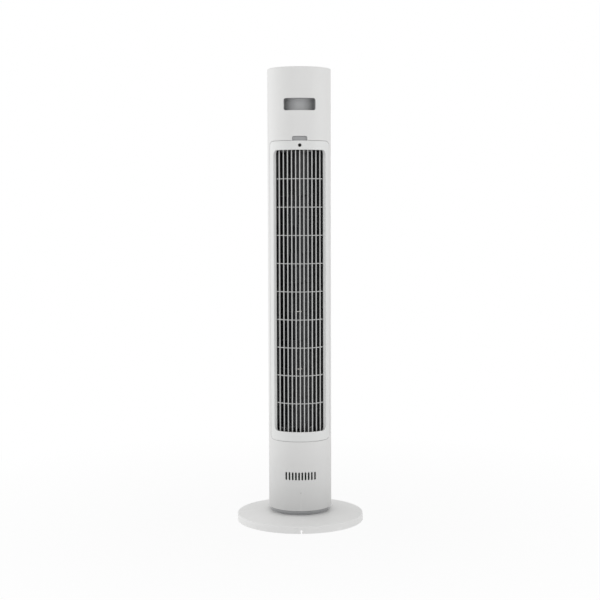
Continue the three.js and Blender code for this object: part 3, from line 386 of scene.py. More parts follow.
# Injection-moulded ABS from a spark-eroded tool: matt white with a soft, broad shine.
def mouldedAbs(name, slot, look):
    material, tree, principled, place = startMaterial(name, slot, IOR=1.53)
    drift = addNode(tree, "ShaderNodeTexNoise", {
        "Vector": place, "Scale": repeatsOf(look["driftSize"]), "Detail": 2})
    tone = addNode(tree, "ShaderNodeMix", {
        0: drift.outputs["Fac"], 6: colour(look["pale"]), 7: colour(look["deep"])},
        data_type="RGBA")
    wear = addNode(tree, "ShaderNodeMapRange", {
        "Value": addNode(tree, "ShaderNodeNewGeometry").outputs["Pointiness"],
        "From Min": 0.5, "From Max": 0.6, "To Max": look["edgeWear"]})
    rubbed = addNode(tree, "ShaderNodeMix", {
        0: wear.outputs["Result"], 6: tone.outputs[2], 7: colour(look["rubbed"])},
        data_type="RGBA")
    # painted shade in seams and recesses
    finished = paintedCornerShade(tree, rubbed.outputs[2], look["cornerShade"])
    # painted shade that greys the tower's lowest part
    if "dustAndLowShade" in look:
        finished = paintedLowShade(tree, place, finished, look["dustAndLowShade"])
    # the real grain is about 0.3 mm, too fine for the render, so it is drawn coarser
    grain = addNode(tree, "ShaderNodeTexNoise", {
        "Vector": place, "Scale": repeatsOf(look["grainSize"]), "Detail": 3,
        "Roughness": 0.6}).outputs["Fac"]
    finishSurface(tree, principled, finished,
                  (grain, look["roughness"] - 0.05, look["roughness"] + 0.05),
                  (grain, look["grainStrength"], look["grainDepth"]))
    return material


housingLook = {
    "pale": "#ededec", "deep": "#e7e7e6", "rubbed": "#f3f3f2", "driftSize": 160 * mm,
    "edgeWear": 0.5, "grainSize": 1.2 * mm, "grainDepth": 0.06 * mm,
    "grainStrength": 0.35, "roughness": 0.5,
    # painted shade in the seams and recesses
    "cornerShade": {"reach": 4 * mm, "full": 0.35, "none": 0.8, "strength": 0.25, "hex": "#77777a"},
}
# a greyer copy of the housing's ABS for the notch: painted shade of the recess, darkest towards its
# walls
pocketLook = {
    **housingLook, "pale": "#cecfd0", "deep": "#c6c7c8", "rubbed": "#d8d9da",
    "cornerShade": {"reach": 34 * mm, "full": 0.12, "none": 0.4, "strength": 0.9, "hex": "#2e2e30"},
}
# the same greyer copy for the grip, with deeper painted shade towards its walls and ends
gripLook = {
    **pocketLook,
    "cornerShade": {"reach": 30 * mm, "full": 0.15, "none": 0.56, "strength": 0.84, "hex": "#1e1e20"},
}
towerLook = {
    **housingLook,
    # painted shade that greys the tower near the floor and thins out upwards
    "dustAndLowShade": {"reach": 0.32, "levels": [(0.12, 0.70), (0.31, 0.85), (0.56, 0.95), (0.99, 1)]},
}
grilleLook = {
    "pale": "#ecedec", "deep": "#e6e7e6", "rubbed": "#f3f3f2", "driftSize": 90 * mm,
    "edgeWear": 0.4, "grainSize": 1.1 * mm, "grainDepth": 0.05 * mm,
    "grainStrength": 0.3, "roughness": 0.46,
    # painted shade at the fins' feet, in the seams and in the recess
    "cornerShade": {"reach": 5 * mm, "full": 0.35, "none": 0.8, "strength": 0.5, "hex": "#77787a"},
}
# fins and bars of the intake, in a greyer copy of the grille's ABS: painted shade of the recess
# they stand in
latticeLook = {**grilleLook, "pale": "#cecfce", "deep": "#c8c9c8", "rubbed": "#d8d9d8"}
neckLook = {
    "pale": "#a3a4a5", "deep": "#98999a", "rubbed": "#b0b1b2", "driftSize": 60 * mm,
    "edgeWear": 0.6, "grainSize": 1.0 * mm, "grainDepth": 0.05 * mm,
    "grainStrength": 0.3, "roughness": 0.48,
    # painted shade in the seams round the neck
    "cornerShade": {"reach": 4 * mm, "full": 0.35, "none": 0.8, "strength": 0.4, "hex": "#55565a"},
}
keyLook = {
    "pale": "#dcdddc", "deep": "#d5d6d5", "rubbed": "#e8e8e8", "driftSize": 12 * mm,
    "edgeWear": 0.7, "grainSize": 0.6 * mm, "grainDepth": 0.02 * mm,
    "grainStrength": 0.25, "roughness": 0.38,
    # painted shade round the key's flange and dish
    "cornerShade": {"reach": 2 * mm, "full": 0.35, "none": 0.8, "strength": 0.3, "hex": "#77787a"},
}


# Moulded polypropylene, black: satin, with faint flow marks along the draw of the tool.
def mouldedPolypropylene(name, slot, look):
    material, tree, principled, place = startMaterial(name, slot, IOR=1.49)
    stretched = addNode(tree, "ShaderNodeMapping", {
        "Vector": place, "Scale": (1, 1, look["flowStretch"])})
    flow = addNode(tree, "ShaderNodeTexNoise", {
        "Vector": stretched.outputs[0], "Scale": repeatsOf(look["flowSize"]),
        "Detail": 4}).outputs["Fac"]
    finishSurface(tree, principled, (flow, look["deep"], look["pale"]),
                  (flow, look["roughness"] - 0.08, look["roughness"] + 0.08),
                  (flow, 0.3, look["flowDepth"]))
    return material


ductLook = {
    "pale": "#1e1f20", "deep": "#161718", "flowSize": 14 * mm, "flowStretch": 0.2,
    "flowDepth": 0.1 * mm, "roughness": 0.5,
}
wheelLook = {
    "pale": "#4b4c4e", "deep": "#3d3e40", "flowSize": 5 * mm, "flowStretch": 0.3,
    "flowDepth": 0.08 * mm, "roughness": 0.42,
}


# Polished acrylic, smoked: near-black, with one clear mirror-like shine.
def smokedAcrylic(name, slot, look):
    shader = {"IOR": 1.49, "Coat Weight": 0.5, "Coat Roughness": 0.04}
    material, tree, principled, place = startMaterial(name, slot, **shader)
    haze = addNode(tree, "ShaderNodeTexNoise", {
        "Vector": place, "Scale": repeatsOf(look["hazeSize"]), "Detail": 3}).outputs["Fac"]
    finishSurface(tree, principled, (haze, look["deep"], look["pale"]), (haze, 0.06, 0.16))
    return material


displayLook = {"pale": "#1d1f23", "deep": "#131417", "hazeSize": 9 * mm}


# Machined natural acetal: off-white and waxy, with fine tool rings.
def naturalAcetal(name, slot, look):
    material, tree, principled, place = startMaterial(name, slot, IOR=1.48)
    rings = addNode(tree, "ShaderNodeTexWave", {
        "Vector": place, "Scale": repeatsOf(look["ringPitch"]) / 20, "Distortion": 0.6},
        wave_type="RINGS", rings_direction="Z").outputs["Fac"]
    worn = addNode(tree, "ShaderNodeTexNoise", {
        "Vector": place, "Scale": repeatsOf(look["wearSize"]), "Detail": 3}).outputs["Fac"]
    finishSurface(tree, principled, (rings, look["pale"], look["deep"]), (worn, 0.3, 0.48),
                  (rings, 0.2, 0.03 * mm))
    return material


acetalLook = {"pale": "#e2e0d8", "deep": "#d6d3c9", "ringPitch": 0.8 * mm, "wearSize": 7 * mm}


# Zinc-plated steel: bright grey with a faint warm and blue cloud from its passivation.
def zincPlatedSteel(name, slot, look):
    material, tree, principled, place = startMaterial(name, slot, Metallic=1)
    cloud = addNode(tree, "ShaderNodeTexNoise", {
        "Vector": place, "Scale": repeatsOf(look["cloudSize"]), "Detail": 4}).outputs["Fac"]
    scuffs = addNode(tree, "ShaderNodeTexVoronoi", {
        "Vector": place, "Scale": repeatsOf(look["spangle"])}).outputs["Distance"]
    finishSurface(tree, principled, (cloud, look["blue"], look["warm"]), (scuffs, 0.28, 0.46),
                  (cloud, 0.15, 0.05 * mm))
    return material


zincLook = {"blue": "#b4b8bd", "warm": "#c2c0b8", "cloudSize": 9 * mm, "spangle": 2.5 * mm}
# the same steel under black passivation: a near-black metal with a dull shine
blackZincLook = {
    "blue": "#1b1c1e", "warm": "#242321", "cloudSize": 3 * mm, "spangle": 1.2 * mm,
}
# and under bright nickel, on the wheel's spring clips
nickelLook = {"blue": "#dcdbd8", "warm": "#d8d3ca", "cloudSize": 5 * mm, "spangle": 1.6 * mm}


# Stacked electrical steel under varnish: dark grey, with the lines of its laminations.
def laminatedIron(name, slot, look):
    material, tree, principled, place = startMaterial(name, slot, Metallic=0.8)
    # real sheets are 0.5 mm thick, drawn three times coarser so that they show
    sheets = addNode(tree, "ShaderNodeTexWave", {
        "Vector": place, "Scale": repeatsOf(look["sheetPitch"]) / 20, "Distortion": 0.4},
        bands_direction="Z").outputs["Fac"]
    varnish = addNode(tree, "ShaderNodeTexNoise", {
        "Vector": place, "Scale": repeatsOf(look["runSize"]), "Detail": 3}).outputs["Fac"]
    finishSurface(tree, principled, (sheets, look["deep"], look["pale"]), (varnish, 0.35, 0.6),
                  (sheets, 0.4, 0.1 * mm))
    return material


ironLook = {"pale": "#77797b", "deep": "#4e5052", "sheetPitch": 1.5 * mm, "runSize": 12 * mm}


# Oiled sintered bronze: warm brown metal, speckled with pores.
def sinteredBronze(name, slot, look):
    material, tree, principled, place = startMaterial(name, slot, Metallic=1)
    pores = addNode(tree, "ShaderNodeTexVoronoi", {
        "Vector": place, "Scale": repeatsOf(look["poreSize"])}).outputs["Distance"]
    finishSurface(tree, principled, (pores, look["deep"], look["pale"]), (pores, 0.6, 0.35),
                  (pores, 0.4, 0.05 * mm))
    return material


bronzeLook = {"pale": "#b08c50", "deep": "#7d6134", "poreSize": 0.8 * mm}


# Moulded nitrile rubber: dead-matt black with a dusty bloom.
def mouldedRubber(name, slot, look):
    shader = {"IOR": 1.52, "Sheen Weight": 0.15, "Sheen Roughness": 0.5}
    material, tree, principled, place = startMaterial(name, slot, **shader)
    bloom = addNode(tree, "ShaderNodeTexNoise", {
        "Vector": place, "Scale": repeatsOf(look["bloomSize"]), "Detail": 5,
        "Roughness": 0.7}).outputs["Fac"]
    finishSurface(tree, principled, (bloom, look["deep"], look["dustAndLowShade"]), (bloom, 0.7, 0.9),
                  (bloom, 0.3, 0.05 * mm))
    return material


rubberLook = {"deep": "#1b1b1c", "dustAndLowShade": "#2c2c2d", "bloomSize": 6 * mm}


# Glass-epoxy board under green solder mask: glossy, with paler copper runs beneath.
def maskedBoard(name, slot, look):
    shader = {"IOR": 1.5, "Coat Weight": 0.4, "Coat Roughness": 0.12}
    material, tree, principled, place = startMaterial(name, slot, **shader)
    runs = addNode(tree, "ShaderNodeTexBrick", {
        "Vector": place, "Color1": colour(look["mask"]), "Color2": colour(look["maskDeep"]),
        "Mortar": colour(look["copperRun"]), "Scale": repeatsOf(look["runPitch"]),
        "Mortar Size": 0.06})
    weave = addNode(tree, "ShaderNodeTexNoise", {
        "Vector": place, "Scale": repeatsOf(look["weaveSize"]), "Detail": 2}).outputs["Fac"]
    finishSurface(tree, principled, runs.outputs["Color"], (weave, 0.22, 0.38),
                  (runs.outputs["Fac"], 0.3, 0.04 * mm))
    return material


boardLook = {
    "mask": "#2f6140", "maskDeep": "#285538", "copperRun": "#4d8a57",
    "runPitch": 4 * mm, "weaveSize": 1.5 * mm,
}


# Extruded PVC insulation: smooth and slightly glossy, one colour for each wire.
def wireInsulation(name, slot, hexText):
    material, tree, principled, place = startMaterial(name, slot, IOR=1.53)
    dustAndLowShade = addNode(tree, "ShaderNodeTexNoise", {
        "Vector": place, "Scale": repeatsOf(8 * mm), "Detail": 3}).outputs["Fac"]
    filmAndShade = addNode(tree, "ShaderNodeMath", {0: dustAndLowShade, 1: 0.15}, operation="MULTIPLY")
    finishSurface(tree, principled, (filmAndShade.outputs[0], hexText, "#8a8a88"), (dustAndLowShade, 0.3, 0.45))
    return material


housingAbs = mouldedAbs("matt white moulded ABS", "white_housing", housingLook)
towerAbs = mouldedAbs("matt white moulded ABS, with painted shade near the floor", "white_housing", towerLook)
pocketAbs = mouldedAbs("shaded moulded ABS of the notch", "white_housing", pocketLook)
gripAbs = mouldedAbs("shaded moulded ABS of the grip", "white_housing", gripLook)
grilleAbs = mouldedAbs("white moulded ABS of the grilles", "white_grille", grilleLook)
latticeAbs = mouldedAbs("white moulded ABS of the intake, with painted shade", "white_grille", latticeLook)
neckAbs = mouldedAbs("grey moulded ABS", "grey_neck", neckLook)
keyAbs = mouldedAbs("satin key ABS", "key_plastic", keyLook)
ductPlastic = mouldedPolypropylene("black moulded polypropylene", "dark_duct", ductLook)
wheelPlastic = mouldedPolypropylene("glass-filled wheel plastic", "wheel_plastic", wheelLook)
acrylic = smokedAcrylic("smoked acrylic", "display_window", displayLook)
acetal = naturalAcetal("natural acetal", "gear_plastic", acetalLook)
zincSteel = zincPlatedSteel("zinc-plated steel", "zinc_steel", zincLook)
blackSteel = zincPlatedSteel("black-passivated steel", "zinc_steel", blackZincLook)
nickelSteel = zincPlatedSteel("nickel-plated spring steel", "zinc_steel", nickelLook)
iron = laminatedIron("laminated electrical steel", "stator_iron", ironLook)
bronze = sinteredBronze("oiled sintered bronze", "sintered_bronze", bronzeLook)
rubber = mouldedRubber("moulded nitrile rubber", "foot_rubber", rubberLook)
board = maskedBoard("solder-masked laminate", "board_laminate", boardLook)


# Rear shell: half of the tower's skin, with the cover's hole, grip, notch and air slots
grip = {
    "width": 76.9 * mm, "height": 28.9 * mm, "topDrop": 74.2 * mm, "corner": 5.5 * mm,
    "depth": 28 * mm, "wall": 1.8 * mm, "floorCorner": 4 * mm, "edge": 0.9 * mm,
    "bulge": 8 * mm,  # its floor lies further in at the ends by this
}
notch = {
    "width": 36.5 * mm, "height": 10.5 * mm, "corner": 4 * mm, "depth": 9 * mm,
    "wall": 1.6 * mm, "floorCorner": 1.5 * mm, "underCover": 3 * mm,
}
vents = {
    "count": 10, "pitch": 7.8 * mm, "width": 4.2 * mm, "height": 19.6 * mm, "rise": 75.5 * mm,
    "edge": 0.3 * mm, "roundness": 0.98,
}
dimple = {"rise": 44.5 * mm, "radius": 1.6 * mm, "edge": 0.3 * mm, "depth": 1.2 * mm}


def dimpleLoop():
    return circle(0, tower["bottom"] + dimple["rise"], dimple["radius"], 20)


def gripLoop():
    top = tower["top"] - grip["topDrop"]
    half = grip["width"] / 2
    return rectangle(-half, half, top - grip["height"], top, grip["corner"])


# The notch's sides go on down to a level behind the cover
def notchLoop():
    half = notch["width"] / 2
    low = cover["top"] - notch["underCover"]
    peak = cover["top"] + notch["height"]
    corners = [(-half, low), (half, low), (half, peak), (-half, peak)]
    return filleted(corners, [0, 0, notch["corner"], notch["corner"]])


# Hole for the cover, seen straight from behind, with the notch in its top edge
def coverHoleLoop():
    gap = tower["seam"]
    half = cover["halfWidth"] + gap
    side = notch["width"] / 2
    top = cover["top"] + gap
    peak = cover["top"] + notch["height"]
    corner = cover["corner"] + gap
    outline = [(-half, cover["bottom"] - gap), (half, cover["bottom"] - gap), (half, top),
               (side, top), (side, peak), (-side, peak), (-side, top), (-half, top)]
    radii = [corner, corner, corner, 0, notch["corner"], notch["corner"], 0, corner]
    return filleted(outline, radii)


def ventLoops():
    loops = []
    low = tower["bottom"] + vents["rise"]
    for i in range(vents["count"]):
        x = (i - (vents["count"] - 1) / 2) * vents["pitch"]
        half = vents["width"] / 2
        corner = half * vents["roundness"]
        loops.append(rectangle(x - half, x + half, low, low + vents["height"], corner, 5))
    return loops


def skinOutline():
    half = quarter * tower["radius"] - tower["seam"] / 2
    return rectangle(-half, half, tower["bottom"], tower["top"], tower["corner"], 2)


# Rounds the rim of the tower's top, on a sheet that has cuts at the same levels
def crownLevels(steps=5):
    edge = tower["topEdge"]
    return [tower["top"] - edge * (1 - math.sin(k / steps * quarter)) for k in range(steps)]


def crown(bm):
    edge = tower["topEdge"]
    for v in bm.verts:
        rise = v.co.z - (tower["top"] - edge)
        flat = math.hypot(v.co.x, v.co.y)
        if rise > 0:
            reach = tower["radius"] - edge + math.sqrt(max(edge * edge - rise * rise, 0))
            shrink = min(1, reach / flat)
            v.co.x *= shrink
            v.co.y *= shrink


# A flat sheet wrapped onto the tower's skin
def skinSheet(loops, edges, middleAngle=0, crowned=False):
    bm = bmesh.new()
    softSheet(bm, loops, tower["wall"], edges)
    if crowned:
        cutAcross(bm, crownLevels(), 1)
    wrap(bm, tower["radius"] - tower["wall"] / 2, middleAngle)
    if crowned:
        crown(bm)
    return bm


# Rearward place, at x, of an upright surface of this radius
def depthOf(radius, x):
    return -math.sqrt(radius * radius - x * x)


# Where pockets and cups start, a little inside the wall
def behindSkin(x):
    return depthOf(tower["radius"] - tower["overlap"], x)


def makeRearShell():
    holes = [coverHoleLoop(), gripLoop(), dimpleLoop(), *ventLoops()]
    edges = [tower["edge"], tower["seamEdge"], grip["edge"], dimple["edge"]]
    edges += [vents["edge"]] * vents["count"]
    loops = [skinOutline()] + [hole(onSkin(loop)) for loop in holes]
    bm = skinSheet(loops, edges, crowned=True)
    dimpleFloor = -(tower["radius"] - dimple["depth"])
    cup(bm, dimpleLoop(), behindSkin, dimpleFloor, dimple["radius"], dimple["edge"], 2)
    addPiece("rearShell", bm, towerAbs, "tower", ["rear_shell"])


# Pocket for the fingers: its floor curves away towards the ends, as the tower's skin does
def makeHandlePocket():
    bm = bmesh.new()
    floor = -(tower["radius"] - grip["depth"])
    cup(bm, gripLoop(), behindSkin, floor, grip["wall"], grip["floorCorner"])
    half = grip["width"] / 2
    cutAcross(bm, [half * k / 10 for k in range(-9, 10)], 0)
    for v in bm.verts:
        rim = behindSkin(v.co.x)
        share = (v.co.y - rim) / (floor - rim)
        v.co.y += share * grip["bulge"] * (v.co.x / half) ** 2
    addPiece("handlePocket", bm, gripAbs, "tower", ["handle_pocket"])


def makeNotchTub():
    bm = bmesh.new()
    floor = -(tower["radius"] - notch["depth"])
    cup(bm, notchLoop(), behindSkin, floor, notch["wall"], notch["floorCorner"])
    addPiece("coverNotch", bm, pocketAbs, "tower")


makeRearShell()
makeHandlePocket()
makeNotchTub()
print("rear shell and grip made")


# Rear cover: a curved frame, a recessed tray and the fins and bars of the intake grille
fins = {
    "count": 11, "pitch": 9.71 * mm, "width": 2.6 * mm, "noseRadius": 0.9 * mm,
    "footHeight": 2.6 * mm, "footSetback": 5 * mm, "footWidth": 2 * mm, "footInset": 0.2 * mm,
}
bars = {
    "count": 9, "height": 1.6 * mm, "inset": 1 * mm, "soft": 0.6 * mm, "backInset": 0.3 * mm,
    "steps": 24,  # from the middle to each end
}
coverScrew = {
    "drop": 11.1 * mm, "bore": 4.3 * mm, "cupWall": 1.1 * mm, "depth": 7.7 * mm,
    "headRadius": 3.3 * mm, "headHeight": 1.9 * mm, "shankRadius": 1.5 * mm, "length": 11 * mm,
    "crossSize": 2.2 * mm, "crossWidth": 0.6 * mm, "crossDepth": 0.9 * mm,
    "crossCorner": 0.1 * mm, "tipSoft": 0.3 * mm, "dome": 0.6, "cupCorner": 0.5 * mm,
    "boreSteps": 32,
}


# Opening of the grille, drawn on the flat skin
def openingLoop():
    half = cover["openingAngle"] * tower["radius"] + cover["stepWidth"]
    return rectangle(-half, half, cover["openingBottom"], cover["openingTop"] + cover["lipLift"],
                     cover["openingCorner"] + cover["stepWidth"], 8)


# Outline of the recess behind it, whose two ends stand back in the shade
def recessLoop():
    half = cover["openingAngle"] * tower["radius"]
    return rectangle(-half, half, cover["openingBottom"] - cover["sillDrop"],
                     cover["openingTop"] + cover["topRise"], cover["openingCorner"], 8)


# Fins of full depth, each on a narrow foot that is set back
def addFins(bm):
    low = cover["openingBottom"] - cover["sillDrop"]
    high = cover["openingTop"] + cover["topRise"] + cover["trayWall"] / 2
    nose = fins["noseRadius"]
    half = fins["width"] / 2
    foot = fins["footWidth"] / 2
    for i in range(fins["count"]):
        x = (i - (fins["count"] - 1) / 2) * fins["pitch"]
        front = depthOf(cover["faceRadius"], x)
        back = latticeBack(x)
        loop = filleted([(x - half, front), (x + half, front), (x + half, back), (x - half, back)],
                        [nose, nose, nose / 3, nose / 3], 4)
        prism(bm, loop, low + fins["footHeight"], high)
        prism(bm, rectangle(x - foot, x + foot, front + fins["footSetback"],
                            back - fins["footInset"], 0),
              low - cover["trayWall"] / 2, low + 2 * fins["footHeight"])


# Bars follow the fins' fronts and end in the side walls
def addBars(bm):
    gap = (cover["openingTop"] - cover["openingBottom"]) / (bars["count"] + 1)
    outer = cover["faceRadius"] - bars["inset"]
    inner = cover["backRadius"] + bars["inset"]
    wide = cover["faceRadius"] * math.sin(cover["openingAngle"]) + cover["trayWall"] / 2
    half = bars["height"] / 2
    steps = bars["steps"]
    for i in range(1, bars["count"] + 1):
        z = cover["openingBottom"] + i * gap
        rings = []
        for k in range(-steps, steps + 1):
            x = wide * k / steps
            arc = depthOf(inner, x) if abs(x) < inner else 0
            back = min(arc, latticeBack(x) - bars["backInset"])
            profile = rectangle(depthOf(outer, x), back, z - half, z + half, bars["soft"], 3)
            rings.append([(x, p.x, p.y) for p in profile])
        loft(bm, rings)


# Recess round the grille: its sides slope in from the skin and then run straight back.
def addTray(bm):
    loop = subdivided(recessLoop(), cover["facePoint"])
    face = cover["faceRadius"]
    bevel = cover["faceBevel"]
    shelf = tower["radius"] - cover["stepDepth"]
    skinRadius = tower["radius"] - tower["wall"] + cover["skinBite"]

    def onRadius(points, radius):
        return [around(p.x / tower["radius"], radius, p.y) for p in points]

    step = offsetLoop(loop, -cover["stepWidth"] - cover["stepPlay"])
    inner = [onRadius(step, shelf)]
    inner += [onRadius(loop, radius) for radius in (shelf, face + bevel, face + bevel / 4)]
    edge = [Vector((face * math.sin(p.x / tower["radius"]), p.y)) for p in loop]
    inner.append([(p.x, depthOf(face, p.x) + bevel * 2 / 3, p.y) for p in edge])
    inner.append([(p.x, latticeBack(p.x), p.y) for p in edge])
    wide = offsetLoop(edge, -cover["trayWall"])
    outer = [[(w.x, latticeBack(p.x), w.y) for w, p in zip(wide, edge)]]
    outer.append([(w.x, depthOf(face, p.x) + cover["trayWall"] / 2, w.y)
                  for w, p in zip(wide, edge)])
    outer.append(onRadius(offsetLoop(loop, -cover["stepWidth"] - cover["hiddenReach"]),
                          skinRadius))
    loft(bm, inner + outer, closed=True)


# How far back the fins, bars and side walls reach at x
def latticeBack(x):
    sideWallEnd = -cover["faceRadius"] * math.cos(cover["openingAngle"]) + cover["sideWallDepth"]
    return min(depthOf(cover["backRadius"], x), sideWallEnd)


def subdivided(loop, longest):
    points = []
    for i, point in enumerate(loop):
        following = loop[(i + 1) % len(loop)]
        count = max(1, math.ceil((following - point).length / longest))
        points += [point.lerp(following, k / count) for k in range(count)]
    return points


def boreLoop():
    z = cover["top"] - coverScrew["drop"]
    return circle(0, z, coverScrew["bore"], coverScrew["boreSteps"])


def makeRearCover():
    play = cover["play"]
    outline = rectangle(play - cover["halfWidth"], cover["halfWidth"] - play,
                        cover["bottom"] + play, cover["top"] - play, cover["corner"] - play)
    loops = [onSkin(outline), hole(openingLoop()), hole(onSkin(boreLoop()))]
    bm = skinSheet(loops, [tower["seamEdge"], cover["openingEdge"], tower["edge"]])
    addTray(bm)
    floor = -(tower["radius"] - coverScrew["depth"])
    cup(bm, boreLoop(), behindSkin, floor, coverScrew["cupWall"], coverScrew["cupCorner"])
    addPiece("rearCover", bm, grilleAbs, "tower", ["rear_grille"])
    bm = bmesh.new()
    addFins(bm)
    addBars(bm)
    addPiece("intakeLattice", bm, latticeAbs, "tower")


# Pan-head screw with a cross recess. It is made head up, its shoulder at 0, and laid by a matrix.
def makeScrew(name, size, lay, material, body, node):
    bm = bmesh.new()
    radius = size["headRadius"]
    height = size["headHeight"]
    shank = size["shankRadius"]
    profile = filleted([(0, height), (0, -size["length"]), (shank, -size["length"]),
                        (shank, 0), (radius, 0), (radius, height)],
                       [0, 0, size["tipSoft"], 0, size["crossCorner"], size["dome"] * height], 4)
    turned(bm, profile, steps=32)
    bmesh.ops.transform(bm, matrix=lay, verts=bm.verts)
    piece = addPiece(name, bm, material, body, [node])
    cross = bmesh.new()
    arms = (size["crossSize"], size["crossWidth"])
    for wide, deep in (arms, arms[::-1]):
        prism(cross, rectangle(-wide, wide, -deep, deep, size["crossCorner"], 2),
              height - size["crossDepth"], height + size["crossDepth"])
    bmesh.ops.transform(cross, matrix=lay, verts=cross.verts)
    cutWith(piece, cross)


def makeCoverScrew():
    head = -(tower["radius"] - coverScrew["depth"]) - tower["seam"]
    lay = Matrix.Translation((0, head, cover["top"] - coverScrew["drop"]))
    lay = lay @ Matrix.Rotation(quarter, 4, "X")
    makeScrew("coverScrew", coverScrew, lay, blackSteel, "tower", "cover_screw")


def cutWith(piece, bm):
    bmesh.ops.recalc_face_normals(bm, faces=bm.faces)
    mesh = bpy.data.meshes.new("cutter")
    bm.to_mesh(mesh)
    bm.free()
    cutter = bpy.data.objects.new("cutter", mesh)
    scene.collection.objects.link(cutter)
    cut = piece.modifiers.new("cut", "BOOLEAN")
    cut.object = cutter
    cut.operation = "DIFFERENCE"
    cut.use_self = True
    piece.modifiers.move(len(piece.modifiers) - 1, 0)
    bakeModifiers(piece)
    bpy.data.objects.remove(cutter)
    bpy.data.meshes.remove(mesh)


def bakeModifiers(piece):
    bpy.context.view_layer.update()
    evaluated = piece.evaluated_get(bpy.context.evaluated_depsgraph_get())
    baked = bpy.data.meshes.new_from_object(evaluated)
    piece.modifiers.clear()
    piece.data = baked


makeRearCover()
makeCoverScrew()
print("rear cover and its grille made")


# Front shell and the outlet grille
outlet = {
    "halfAngle": math.radians(52), "windowAngle": math.radians(47), "border": 10 * mm,
    "corner": 6 * mm, "vanePitch": 11 * mm, "vaneCount": 9, "vaneWidth": 2 * mm,
    "vaneDepth": 5 * mm, "vaneInset": 1 * mm, "barCount": 4, "barHeight": 2 * mm,
    "soft": 0.7 * mm, "overrun": 1 * mm, "barOverrun": 0.015,
}


def outletLoop(margin):
    half = outlet["halfAngle"] * tower["radius"] + margin
    border = outlet["border"] + margin
    return rectangle(-half, half, cover["openingBottom"] - border,
                     cover["openingTop"] + border, outlet["corner"] + margin)


def windowLoop():
    half = outlet["windowAngle"] * tower["radius"]
    return rectangle(-half, half, cover["openingBottom"], cover["openingTop"],
                     outlet["corner"] / 2)


def makeFrontShell():
    edges = [tower["edge"]] * 2
    bm = skinSheet([skinOutline(), hole(outletLoop(tower["seam"]))], edges, math.pi, True)
    addPiece("frontShell", bm, towerAbs, "tower", ["front_shell"])


def makeFrontGrille():
    bm = skinSheet([outletLoop(0), hole(windowLoop())], [tower["edge"]] * 2, math.pi)
    outer = tower["radius"] - outlet["vaneInset"]
    inner = outer - outlet["vaneDepth"]
    overrun = outlet["overrun"]
    half = outlet["vaneWidth"] / 2
    for i in range(outlet["vaneCount"]):
        x = (i - (outlet["vaneCount"] - 1) / 2) * outlet["vanePitch"]
        loop = rectangle(x - half, x + half, -depthOf(inner, x), -depthOf(outer, x),
                         outlet["soft"], 3)
        prism(bm, loop, cover["openingBottom"] - overrun, cover["openingTop"] + overrun)
    gap = (cover["openingTop"] - cover["openingBottom"]) / (outlet["barCount"] + 1)
    reach = outlet["windowAngle"] + outlet["barOverrun"]
    half = outlet["barHeight"] / 2
    for i in range(1, outlet["barCount"] + 1):
        z = cover["openingBottom"] + i * gap
        profile = rectangle(inner + outlet["vaneInset"], outer - outlet["vaneInset"],
                            z - half, z + half, outlet["soft"], 3)
        turned(bm, profile, start=math.pi - reach, sweep=2 * reach, steps=36)
    addPiece("frontGrille", bm, grilleAbs, "tower", ["front_grille"])


makeFrontShell()
makeFrontGrille()
print("front shell and outlet grille made")


# Disc base in two halves: a low dome with a soft rim, hollow below
base = {
    "radius": -lowest("base_rear_half").y, "bottom": lowest("base_rear_half").z,
    "rimHeight": 17.2 * mm, "wall": 2.6 * mm, "edge": 2.5 * mm,
    "innerRadius": 30 * mm, "deckRadius": 72 * mm, "ribWall": 2 * mm,
    "ribInnerRadius": 62 * mm, "ribLift": 3 * mm, "channelHalfWidth": 9 * mm,
    "channelStart": 74 * mm, "seamEdge": 0.5 * mm, "bossMargin": 2 * mm, "bossPlay": 0.1 * mm,
    "ribCount": 6, "ribTurn": math.radians(45), "ribSoft": 0.3 * mm,
    "ribBite": 1 * mm,  # how far below the rim's height the ribs and bosses end
}
foot = {"count": 6, "taper": 0.3 * mm, "soft": 0.6 * mm}
base["rise"] = highest("base_rear_half").z - base["bottom"] - base["rimHeight"]
keyhole = {
    "rise": 5.6 * mm, "radius": 2.9 * mm, "slotWidth": 3.5 * mm, "overrun": 1.5 * mm,
}
baseScrew = {**coverScrew, "count": 4, "headHeight": 2.2 * mm}


# Height of the base's top, from its rim's soft edge up to the flat deck
def baseHeight(radius):
    rimTop = base["bottom"] + base["rimHeight"]
    outer = base["radius"] - base["edge"]
    share = min(max((outer - radius) / (outer - base["deckRadius"]), 0), 1)
    return rimTop + base["rise"] * math.sin(share * quarter)


def baseProfile():
    outer = base["radius"] - base["edge"]
    rimTop = base["bottom"] + base["rimHeight"]
    inner = base["radius"] - base["wall"]
    ceiling = rimTop + base["rise"] - base["wall"]
    line = [(base["innerRadius"], ceiling), (base["deckRadius"], ceiling),
            (inner, rimTop - base["wall"]), (inner, base["bottom"]),
            (base["radius"], base["bottom"])]
    for k in range(7):
        turn = k / 6 * quarter
        line.append((outer + base["edge"] * math.cos(turn),
                     rimTop - base["edge"] * (1 - math.sin(turn))))
    for k in range(1, 17):
        radius = outer - (outer - base["deckRadius"]) * k / 16
        line.append((radius, baseHeight(radius)))
    line.append((base["innerRadius"], baseHeight(0)))
    return line


